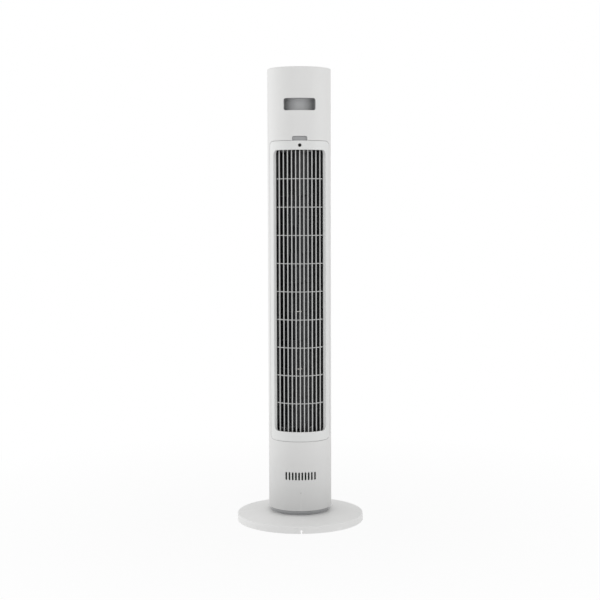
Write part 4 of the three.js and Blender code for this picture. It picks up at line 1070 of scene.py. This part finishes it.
# Ribs below one half, and those on both sides of the mains lead's channel
def addRibs(bm, side):
    low = base["bottom"] + base["ribLift"]
    top = baseHeight(base["radius"]) - base["ribBite"]
    half = base["ribWall"] / 2
    reach = base["radius"] - base["wall"]
    for k in range(base["ribCount"]):
        turn = 2 * math.pi * k / base["ribCount"] + base["ribTurn"]
        way = Vector((math.cos(turn), math.sin(turn)))
        if way.y * side > 0:
            across = Vector((-way.y, way.x)) * half
            start = way * base["ribInnerRadius"]
            end = way * reach
            prism(bm, [start - across, end - across, end + across, start + across], low, top)
    if side < 0:
        for hand in (-1, 1):
            middle = hand * (base["channelHalfWidth"] + half)
            prism(bm, rectangle(middle - half, middle + half, -reach, -base["channelStart"],
                                base["ribSoft"], 2), low, top)


# Round bosses that carry the rubber feet
def addBosses(bm, side):
    top = baseHeight(base["radius"]) - base["ribBite"]
    for index in range(1, foot["count"] + 1):
        node = f"foot_{index}"
        spot = middleOf(node)
        if spot.y * side > 0:
            radius = highest(node).y - spot.y + base["bossMargin"]
            seat = highest(node).z + base["bossPlay"]
            line = filleted([(0, seat), (radius, seat), (radius, top), (0, top)],
                            [0, foot["soft"], 0, 0], 3)
            turned(bm, line, (spot.x, spot.y), steps=36)


def makeBaseHalf(name, side, node):
    bm = bmesh.new()
    turned(bm, baseProfile(), start=0 if side > 0 else math.pi, sweep=math.pi, steps=90)
    bmesh.ops.transform(bm, matrix=Matrix.Rotation(quarter, 4, "Z"), verts=bm.verts)
    gap = tower["seam"] / 2
    for v in bm.verts:
        if abs(v.co.y) < gap:
            v.co.y = side * gap
    addRibs(bm, side)
    addBosses(bm, side)
    piece = addPiece(name, bm, housingAbs, "base", [node])
    soft = piece.modifiers.new("softSeam", "BEVEL")
    soft.width = base["seamEdge"]
    soft.segments = 3
    soft.limit_method = "ANGLE"
    soft.angle_limit = math.radians(50)
    piece.modifiers.move(len(piece.modifiers) - 1, 0)
    return piece


def keyholeCutter():
    bm = bmesh.new()
    z = base["bottom"] + keyhole["rise"]
    radius = keyhole["radius"]
    half = keyhole["slotWidth"] / 2
    mouth = math.asin(half / radius)
    turns = [-quarter + mouth + (2 * math.pi - 2 * mouth) * k / 28 for k in range(29)]
    loop = [(radius * math.cos(t), z + radius * math.sin(t)) for t in turns]
    overrun = keyhole["overrun"]
    loop += [(-half, base["bottom"] - overrun), (half, base["bottom"] - overrun)]
    depths = (-base["radius"] - overrun, -base["radius"] + base["wall"] + overrun)
    loft(bm, [[(x, y, level) for x, level in loop] for y in depths])
    return bm


def makeBase():
    rear = makeBaseHalf("baseRearHalf", -1, "base_rear_half")
    cutWith(rear, keyholeCutter())
    makeBaseHalf("baseFrontHalf", 1, "base_front_half")


def makeBaseScrews():
    for index in range(1, baseScrew["count"] + 1):
        node = f"base_screw_{index}"
        spot = middleOf(node)
        low, high = levelsOf(node)
        head = baseScrew["headHeight"]
        size = {**baseScrew, "headRadius": highest(node).y - spot.y, "length": high - low - head}
        lay = Matrix.Translation((spot.x, spot.y, low + head))
        lay = lay @ Matrix.Rotation(math.pi, 4, "X")
        makeScrew(f"baseScrew{index}", size, lay, zincSteel, "base", node)


makeBase()
makeBaseScrews()
print("base made")


# Neck: the hub ring of the base and the turntable's ring above it
neck = {
    "wall": 3 * mm, "deckDrop": 2.5 * mm, "hubInset": 1.6 * mm, "ringInset": 5 * mm,
    "bore": 12 * mm, "sleeve": 18 * mm, "soft": 0.5 * mm, "ringSoft": 1.4 * mm, "steps": 120,
}


def makeHub():
    low, top = levelsOf("base_hub")
    outer = highest("base_hub").y - neck["hubInset"]
    inner = outer - neck["wall"]
    ringTop = lowest("turntable").z - tower["seam"]
    deck = ringTop - neck["deckDrop"]
    bore = neck["bore"]
    sleeve = neck["sleeve"]
    profile = [(bore, deck), (inner, deck), (inner, low), (outer, low), (outer, ringTop),
               (sleeve, ringTop), (sleeve, top), (bore, top)]
    addTurned("baseHub", filleted(profile, neck["soft"], 3), neckAbs, "base", "base_hub",
              steps=neck["steps"])


def makeTurntable():
    low = lowest("turntable").z
    reach = highest("turntable").y
    plate = tower["bottom"] + tower["seam"]
    top = plate + neck["wall"]
    outer = tower["radius"] - neck["ringInset"]
    inner = outer - neck["wall"]
    bore = neck["sleeve"] + tower["seam"]
    profile = [(bore, plate), (inner, plate), (inner, low), (outer, low), (outer, plate),
               (reach, plate), (reach, top), (bore, top)]
    radii = [neck["soft"]] * len(profile)
    radii[3] = neck["ringSoft"]
    addTurned("turntable", filleted(profile, radii, 4), neckAbs, "tower", "turntable",
              steps=neck["steps"])


makeHub()
makeTurntable()
print("neck made")


# Cross-flow wheel: nine segments of curved blades between thin discs
wheel = {
    "x": (lowest("wheel_segment_1").x + highest("wheel_segment_1").x) / 2,
    "radius": highest("wheel_segment_1").y, "segments": 9, "discThickness": 2 * mm,
    "discWidth": 12 * mm, "bladeCount": 30, "bladeDepth": 9.2 * mm, "bladeThickness": 1.1 * mm,
    "bladeSweep": math.radians(15), "bladeInset": 0.3 * mm, "bladeTip": 0.55,
    "bladeStagger": 0.4,  # share of a blade's pitch that each segment is turned by
    "bladeRoot": 0.8,  # share of the disc's thickness at which the blades start
    "endPlate": 3 * mm, "shaftBore": 4.3 * mm, "bossRadius": 9 * mm, "pinRadius": 4 * mm,
    "core": 0.2 * mm, "hubSoft": 0.15 * mm, "discSoft": 0.5 * mm,
}


def bladeLoop(angle, steps=5):
    left = []
    right = []
    for k in range(steps + 1):
        share = k / steps
        radius = wheel["radius"] - wheel["bladeInset"] - wheel["bladeDepth"] * (1 - share)
        turn = angle + wheel["bladeSweep"] * share * share
        fullness = wheel["bladeTip"] + (1 - wheel["bladeTip"]) * math.sin(share * math.pi)
        half = wheel["bladeThickness"] / 2 * fullness
        spread = half / radius
        left.append(around(turn - spread, radius, 0))
        right.append(around(turn + spread, radius, 0))
    shift = Vector((wheel["x"], 0, 0))
    return [p + shift for p in left + right[::-1]]


def makeWheelSegment(index):
    node = f"wheel_segment_{index}"
    low, high = levelsOf(node)
    bm = bmesh.new()
    profile = rectangle(wheel["radius"] - wheel["discWidth"], wheel["radius"], low,
                        low + wheel["discThickness"], wheel["discSoft"], 3)
    turned(bm, profile, (wheel["x"], 0), steps=72)
    for i in range(wheel["bladeCount"]):
        place = i + wheel["bladeStagger"] * index
        loop = bladeLoop(2 * math.pi * place / wheel["bladeCount"])
        prism(bm, loop, low + wheel["discThickness"] * wheel["bladeRoot"], high)
    addPiece(f"wheelSegment{index}", bm, wheelPlastic, "wheel", [node])


def makeWheelHubs():
    plate = wheel["endPlate"]
    outer = wheel["radius"]
    bore = wheel["shaftBore"]
    boss = wheel["bossRadius"]
    low, high = levelsOf("wheel_lower_hub")
    lower = [(bore, low), (boss, low), (boss, high - plate), (outer, high - plate),
             (outer, high), (bore, high)]
    core = wheel["core"]
    pin = wheel["pinRadius"]
    low, high = levelsOf("wheel_upper_hub")
    upper = [(core, low), (outer, low), (outer, low + plate), (pin, low + plate),
             (pin, high), (core, high)]
    for name, node, profile in (("wheelLowerHub", "wheel_lower_hub", lower),
                                ("wheelUpperHub", "wheel_upper_hub", upper)):
        addTurned(name, filleted(profile, wheel["hubSoft"], 3), wheelPlastic, "wheel", node,
                  (wheel["x"], 0), 72)


clip = {
    "turn": math.radians(9.1), "halfLength": 5.4 * mm, "height": 2.4 * mm, "lift": 0.6 * mm,
    "inner": 0.3 * mm, "thickness": 1.2 * mm, "soft": 0.3 * mm, "endRadius": 1.9 * mm,
}


# Spring-steel clips that balance the wheel, bent round its discs' rims, with a curled end
def makeBalanceClips():
    for index in (1, 2):
        node = f"balance_clip_{index}"
        middle = middleOf(node).z + clip["lift"]
        inner = wheel["radius"] + clip["inner"]
        half = clip["height"] / 2
        bm = bmesh.new()
        profile = rectangle(inner, inner + clip["thickness"], middle - half, middle + half,
                            clip["soft"], 3)
        reach = clip["halfLength"] / wheel["radius"]
        turned(bm, profile, (wheel["x"], 0), start=clip["turn"] - reach, sweep=2 * reach, steps=10)
        curl = around(clip["turn"] + reach, inner, 0) + Vector((wheel["x"], 0, 0))
        curlRadius = clip["endRadius"]
        turns = [k / 12 * math.pi for k in range(13)]
        line = [(curlRadius * math.sin(t), middle - curlRadius * math.cos(t)) for t in turns]
        turned(bm, line, (curl.x, curl.y), steps=24)
        addPiece(f"balanceClip{index}", bm, nickelSteel, "wheel", [node])


for number in range(1, wheel["segments"] + 1):
    makeWheelSegment(number)
makeWheelHubs()
makeBalanceClips()
print("wheel made")


# Top cap, its four keys and its display window
cap = {
    "radius": highest("turntable").y, "top": highest("top_cap").z, "thickness": 3 * mm,
    "edge": 0.6 * mm, "keyGap": 0.3 * mm, "displayY": 46 * mm,
    "displayWidth": 44 * mm, "displayDepth": 13 * mm, "displayCorner": 3 * mm,
    "displayThickness": 2.4 * mm, "displayEdge": 0.3 * mm,
}
key = {
    "radius": 6.7 * mm, "flange": 1.8 * mm, "edge": 0.6 * mm, "dish": 0.4 * mm,
    "symbolSize": 2.4 * mm, "lineWidth": 0.6 * mm, "symbolHeight": 0.5 * mm,
    "layerRise": 0.03 * mm,  # between lines that cross, so that no faces coincide
}


def displayLoop(margin):
    half = cap["displayWidth"] / 2 + margin
    deep = cap["displayDepth"] / 2 + margin
    return rectangle(-half, half, cap["displayY"] - deep, cap["displayY"] + deep,
                     cap["displayCorner"] + margin)


def makeTopCap():
    bm = bmesh.new()
    loops = [circle(0, 0, cap["radius"], 120), hole(displayLoop(cap["keyGap"]))]
    for node in keyNodes:
        spot = middleOf(node)
        loops.append(hole(circle(spot.x, spot.y, key["radius"] + cap["keyGap"], 40)))
    softSheet(bm, loops, cap["thickness"], [cap["edge"]] * len(loops))
    lift = cap["top"] - cap["thickness"] / 2
    bmesh.ops.translate(bm, vec=(0, 0, lift), verts=bm.verts)
    addPiece("topCap", bm, housingAbs, "tower", ["top_cap"])


def makeDisplayWindow():
    bm = bmesh.new()
    thickness = cap["displayThickness"]
    softSheet(bm, [displayLoop(0)], thickness, [cap["displayEdge"]])
    bmesh.ops.translate(bm, vec=(0, 0, cap["top"] - thickness / 2), verts=bm.verts)
    addPiece("displayWindow", bm, acrylic, "tower", ["display_window"])


keyNodes = {
    "button_power": "power", "button_speed": "speed",
    "button_timer": "timer", "button_swing": "swing",
}


def makeKeys():
    flange = key["radius"] + key["flange"]
    for node, name in keyNodes.items():
        spot = middleOf(node)
        low, high = levelsOf(node)
        line = [(0, low), (flange, low), (flange, low + key["flange"]),
                (key["radius"], low + key["flange"])]
        for k in range(6):
            turn = k / 5 * quarter
            line.append((key["radius"] - key["edge"] * (1 - math.cos(turn)),
                         high - key["edge"] * (1 - math.sin(turn))))
        line += [(key["radius"] / 2, high - key["dish"] * 0.6), (0, high - key["dish"])]
        addTurned(f"{name}Key", line, keyAbs, node, node, spot.xy)


# A raised line of the symbols, as a narrow band between two points
def addLine(bm, start, end, layer=0):
    way = (end - start).normalized() * key["lineWidth"] / 2
    across = Vector((-way.y, way.x))
    prism(bm, [start - across, end - across, end + across, start + across],
          -key["symbolHeight"], layer * key["layerRise"])


def addArc(bm, radius, first, last, steps=20):
    half = key["lineWidth"] / 2
    turned(bm, [(radius - half, -key["symbolHeight"]), (radius + half, -key["symbolHeight"]),
                (radius + half, 0), (radius - half, 0)],
           start=math.radians(first), sweep=math.radians(last - first), steps=steps)


def addPowerSymbol(bm, size):
    addArc(bm, size, 30 - 180, 330 - 180)
    addLine(bm, Vector((0, size * 0.3)), Vector((0, size * 1.1)))


# Three bars that grow, for the speed
def addSpeedSymbol(bm, size):
    for k in range(3):
        x = (k - 1) * size * 0.7
        addLine(bm, Vector((x, -size * 0.8)), Vector((x, -size * 0.2 + k * size * 0.55)))


# A clock face, for the timer
def addTimerSymbol(bm, size):
    addArc(bm, size, 0, 360, 32)
    addLine(bm, Vector((0, -key["lineWidth"] / 2)), Vector((0, size * 0.7)))
    addLine(bm, Vector((0, 0)), Vector((size * 0.55, 0)), 1)


# An arc with an arrow head at each end, for the swing
def addSwingSymbol(bm, size):
    addArc(bm, size, 120, 240)
    for side in (-1, 1):
        tip = Vector((side * size * 0.87, size * 0.45))
        addLine(bm, tip, tip + Vector((-side * size * 0.15, size * 0.55)), 1)
        addLine(bm, tip, tip + Vector((-side * size * 0.65, size * 0.05)), 2)


def makeSymbols():
    drawings = [addPowerSymbol, addSpeedSymbol, addTimerSymbol, addSwingSymbol]
    for (node, name), draw in zip(keyNodes.items(), drawings):
        bm = bmesh.new()
        draw(bm, key["symbolSize"])
        spot = middleOf(node)
        lift = Vector((spot.x, spot.y, highest(node).z - key["dish"] / 2))
        bmesh.ops.rotate(bm, matrix=Matrix.Rotation(math.pi, 3, "Z"), verts=bm.verts)
        bmesh.ops.translate(bm, vec=lift, verts=bm.verts)
        addPiece(f"{name}Symbol", bm, neckAbs, node)


makeTopCap()
makeDisplayWindow()
makeKeys()
makeSymbols()
print("top cap and keys made")


# Small parts: feet, the cord gland, the bearing's rubber and the wires
def makeFeet():
    for index in range(1, foot["count"] + 1):
        node = f"foot_{index}"
        spot = middleOf(node)
        low, high = levelsOf(node)
        radius = highest(node).y - spot.y
        line = [(0, low), (radius - foot["taper"], low), (radius, high), (0, high)]
        addTurned(f"foot{index}", filleted(line, [0, foot["soft"], foot["soft"] / 2, 0], 3),
                  rubber, "base", node, spot.xy, 36)


gland = {
    "bore": 4 * mm, "radius": 11.7 * mm, "flange": 16 * mm, "flangeHeight": 2.4 * mm,
    "soft": 0.5 * mm,
}


def makeGland():
    low, high = levelsOf("cord_gland")
    shoulder = low + gland["flangeHeight"]
    profile = [(gland["bore"], low), (gland["flange"], low), (gland["flange"], shoulder),
               (gland["radius"], shoulder), (gland["radius"], high), (gland["bore"], high)]
    addTurned("cordGland", filleted(profile, gland["soft"], 3), rubber, "base", "cord_gland")


bearing = {
    "bore": 7.3 * mm, "radius": 11.7 * mm, "ribs": 4, "grooveDepth": 0.8 * mm,
    "grooveWidth": 1.8 * mm,
}


# Rubber ring with grooves round it, V-shaped with a flat floor
def makeBearingRubber():
    low, high = levelsOf("bearing_rubber")
    outer = bearing["radius"]
    floor = outer - bearing["grooveDepth"]
    line = [(bearing["bore"], low), (outer, low)]
    for k in range(bearing["ribs"]):
        z = low + (high - low) * (k + 0.5) / bearing["ribs"]
        wide = bearing["grooveWidth"] / 2
        narrow = bearing["grooveWidth"] / 6
        line += [(outer, z - wide), (floor, z - narrow), (floor, z + narrow), (outer, z + wide)]
    line += [(outer, high), (bearing["bore"], high)]
    addTurned("bearingRubber", line, rubber, "tower", "bearing_rubber", (wheel["x"], 0))


wires = {
    "colours": {"brown": "#5b3a26", "blue": "#2f4a86", "black": "#1f1f20",
                "white": "#cfcfcb", "yellow": "#b59a2c"},
    "radius": 0.7 * mm, "spread": 1.25 * mm, "twistPitch": 60 * mm, "steps": 260,
    "bend": 45 * mm, "bendShare": 0.12,
    "boardEnd": (-56 / 3 * mm, 40 * mm), "controlEndX": -28 * mm,
    "ductSide": (2.2 * mm, 18.05 * mm),  # from the loom's left side and the bulkhead's middle
}


# Route of the wires: out of the power board, up beside the duct and in to the control board
def loomRoute(share):
    low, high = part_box("wiring_loom")
    bend = wires["bend"]
    x = low.x + wires["ductSide"][0]
    y = middleOf("lower_bulkhead").y + wires["ductSide"][1]
    first = Vector((*wires["boardEnd"], low.z))
    last = Vector((wires["controlEndX"], y, high.z))
    rise = Vector((0, 0, bend))
    turnTop = Vector((x, y, low.z + 2 * bend))
    turnLow = Vector((x, y, high.z - 2 * bend))
    part = wires["bendShare"]
    if share < part:
        return bezier(first, first + rise, turnTop - rise * 1.5, turnTop, share / part)
    if share > 1 - part:
        return bezier(turnLow, turnLow + rise * 1.5, last - rise, last, (share - 1 + part) / part)
    return turnTop.lerp(turnLow, (share - part) / (1 - 2 * part))


def bezier(a, b, c, d, t):
    u = 1 - t
    return a * u ** 3 + b * 3 * u * u * t + c * 3 * u * t * t + d * t ** 3


def makeWires():
    height = highest("wiring_loom").z - lowest("wiring_loom").z
    for index, (word, hexText) in enumerate(wires["colours"].items()):
        sleeve = wireInsulation(f"{word} wire insulation", "wire_sleeve", hexText)
        phase = 2 * math.pi * index / len(wires["colours"])
        points = []
        for k in range(wires["steps"] + 1):
            share = k / wires["steps"]
            turn = phase + 2 * math.pi * share * height / wires["twistPitch"]
            off = Vector((math.cos(turn), math.sin(turn), 0)) * wires["spread"]
            points.append(loomRoute(share) + off)
        bm = bmesh.new()
        tubeAlong(bm, points, wires["radius"], 8)
        nodes = ["wiring_loom"] if index == 0 else []
        addPiece(f"{word}Wire", bm, sleeve, "tower", nodes)


makeFeet()
makeGland()
makeBearingRubber()
makeWires()
print("small parts made")


# CAD nodes that keep their shape and take a finish
keptNodes = {
    acetal: ["swing_sector", "swing_pinion", "glide_ring"],
    zincSteel: ["swing_retainer", "swing_motor", "motor_upper_bell", "motor_lower_bell",
                "motor_bracket", "motor_shaft"],
    iron: ["motor_stator", "motor_rotor"],
    bronze: ["upper_bush"],
    board: ["power_board", "control_board"],
    ductPlastic: ["scroll_wall", "vortex_tongue", "lower_bulkhead", "upper_bulkhead"],
}
for finish, names in keptNodes.items():
    for nodeName in names:
        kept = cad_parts[nodeName]
        kept.data.materials.clear()
        kept.data.materials.append(finish)
print("kept nodes finished:", sum(len(names) for names in keptNodes.values()))


# Studio: a pale floor that fades into white, an even sky and soft lamps
studio = {
    "floorRadius": 1.6, "floorHex": "#c0c0c0", "speckHex": "#949494", "speckSize": 25 * mm,
    "whiteShare": 0.95, "skyStrength": 0.58, "fadeFrom": 0.25, "fadeTo": 1.2,
    "floorGlow": 0.43,  # share of the floor that lights the fan from below
    "aim": (0, 0, 0.6),
    "lamps": {
        "leftSoft": {"at": (-2.0, -0.6, 0.75), "size": 1.5, "power": 7},
        "leftRear": {"at": (-1.9, 0.9, 0.75), "size": 1.5, "power": 8.7},
        "rightSoft": {"at": (2.0, -0.6, 0.75), "size": 1.5, "power": 9.4},
        "overCamera": {"at": (0, -3.4, 1.5), "size": 1.5, "power": 12.4},
        "topSoft": {"at": (-0.2, -0.6, 2.9), "size": 1.6, "power": 2.7},
    },
}


def seenStraight(tree):
    path = addNode(tree, "ShaderNodeLightPath")
    either = addNode(tree, "ShaderNodeMath", {
        0: path.outputs["Is Camera Ray"], 1: path.outputs["Is Glossy Ray"]}, operation="MAXIMUM")
    return addNode(tree, "ShaderNodeMath", {
        0: either.outputs[0], 1: path.outputs["Is Transmission Ray"]},
        operation="MAXIMUM").outputs[0]


def makeWorld():
    world = bpy.data.worlds.new("whiteStudio")
    scene.world = world
    world.use_nodes = True
    tree = world.node_tree
    tree.nodes.clear()
    sky = addNode(tree, "ShaderNodeBackground", {"Strength": studio["skyStrength"]})
    seen = addNode(tree, "ShaderNodeBackground", {"Strength": 1})
    for node in (sky, seen):
        node.inputs["Color"].default_value = (1, 1, 1, 1)
    mix = addNode(tree, "ShaderNodeMixShader", {
        0: seenStraight(tree), 1: sky.outputs[0], 2: seen.outputs[0]})
    addNode(tree, "ShaderNodeOutputWorld", {"Surface": mix.outputs[0]})


# The camera sees mostly white, with the fan's soft shadow in the rest
def floorMaterial():
    material = bpy.data.materials.new("pale painted floor")
    material.use_nodes = True
    tree = material.node_tree
    tree.nodes.clear()
    place = addNode(tree, "ShaderNodeTexCoord").outputs["Object"]
    speckle = addNode(tree, "ShaderNodeTexNoise", {
        "Vector": place, "Scale": repeatsOf(studio["speckSize"])})
    tone = addNode(tree, "ShaderNodeMix", {
        0: speckle.outputs["Fac"], 6: colour(studio["floorHex"]), 7: colour(studio["speckHex"])},
        data_type="RGBA")
    paint = addNode(tree, "ShaderNodeBsdfDiffuse", {"Color": tone.outputs[2]})
    white = addNode(tree, "ShaderNodeEmission", {"Color": (1, 1, 1, 1), "Strength": 1})
    away = addNode(tree, "ShaderNodeVectorMath", {0: place}, operation="LENGTH")
    fade = addNode(tree, "ShaderNodeMapRange", {
        "Value": away.outputs["Value"], "From Min": studio["fadeFrom"],
        "From Max": studio["fadeTo"], "To Min": studio["whiteShare"], "To Max": 1})
    share = addNode(tree, "ShaderNodeMix", {
        0: seenStraight(tree), 2: studio["floorGlow"], 3: fade.outputs["Result"]})
    mix = addNode(tree, "ShaderNodeMixShader", {
        0: share.outputs[0], 1: paint.outputs[0], 2: white.outputs[0]})
    addNode(tree, "ShaderNodeOutputMaterial", {"Surface": mix.outputs[0]})
    return material


def makeFloor():
    bm = bmesh.new()
    bmesh.ops.create_circle(bm, cap_ends=True, segments=96, radius=studio["floorRadius"])
    mesh = bpy.data.meshes.new("floor")
    bm.to_mesh(mesh)
    bm.free()
    mesh.materials.append(floorMaterial())
    floor = bpy.data.objects.new("floor", mesh)
    scene.collection.objects.link(floor)


def makeLamps():
    for name, lamp in studio["lamps"].items():
        light = bpy.data.lights.new(name, "AREA")
        light.size = lamp["size"]
        light.energy = lamp["power"]
        holder = bpy.data.objects.new(name, light)
        holder.location = lamp["at"]
        aim = Vector(studio["aim"]) - holder.location
        holder.rotation_mode = "QUATERNION"
        holder.rotation_quaternion = aim.to_track_quat("-Z", "Y")
        holder.visible_camera = False
        scene.collection.objects.link(holder)


# Camera at the photograph's angle, from the vanishing lines of the tower and base
camera = {
    "at": (-0.0550, -3.1410, 0.7806), "yaw": 1.02, "pitch": -4.272, "roll": -0.174, "lens": 77.0,
}


def makeCamera():
    lens = bpy.data.cameras.new("camera")
    lens.lens = camera["lens"]
    lens.sensor_width = 36
    holder = bpy.data.objects.new("camera", lens)
    scene.collection.objects.link(holder)
    turn = Matrix.Rotation(math.radians(-camera["yaw"]), 4, "Z")
    tilt = Matrix.Rotation(quarter + math.radians(camera["pitch"]), 4, "X")
    roll = Matrix.Rotation(math.radians(camera["roll"]), 4, "Z")
    holder.matrix_world = Matrix.Translation(camera["at"]) @ turn @ tilt @ roll
    scene.camera = holder


makeWorld()
makeFloor()
makeLamps()
makeCamera()
scene.view_settings.view_transform = "Standard"
print("studio made")
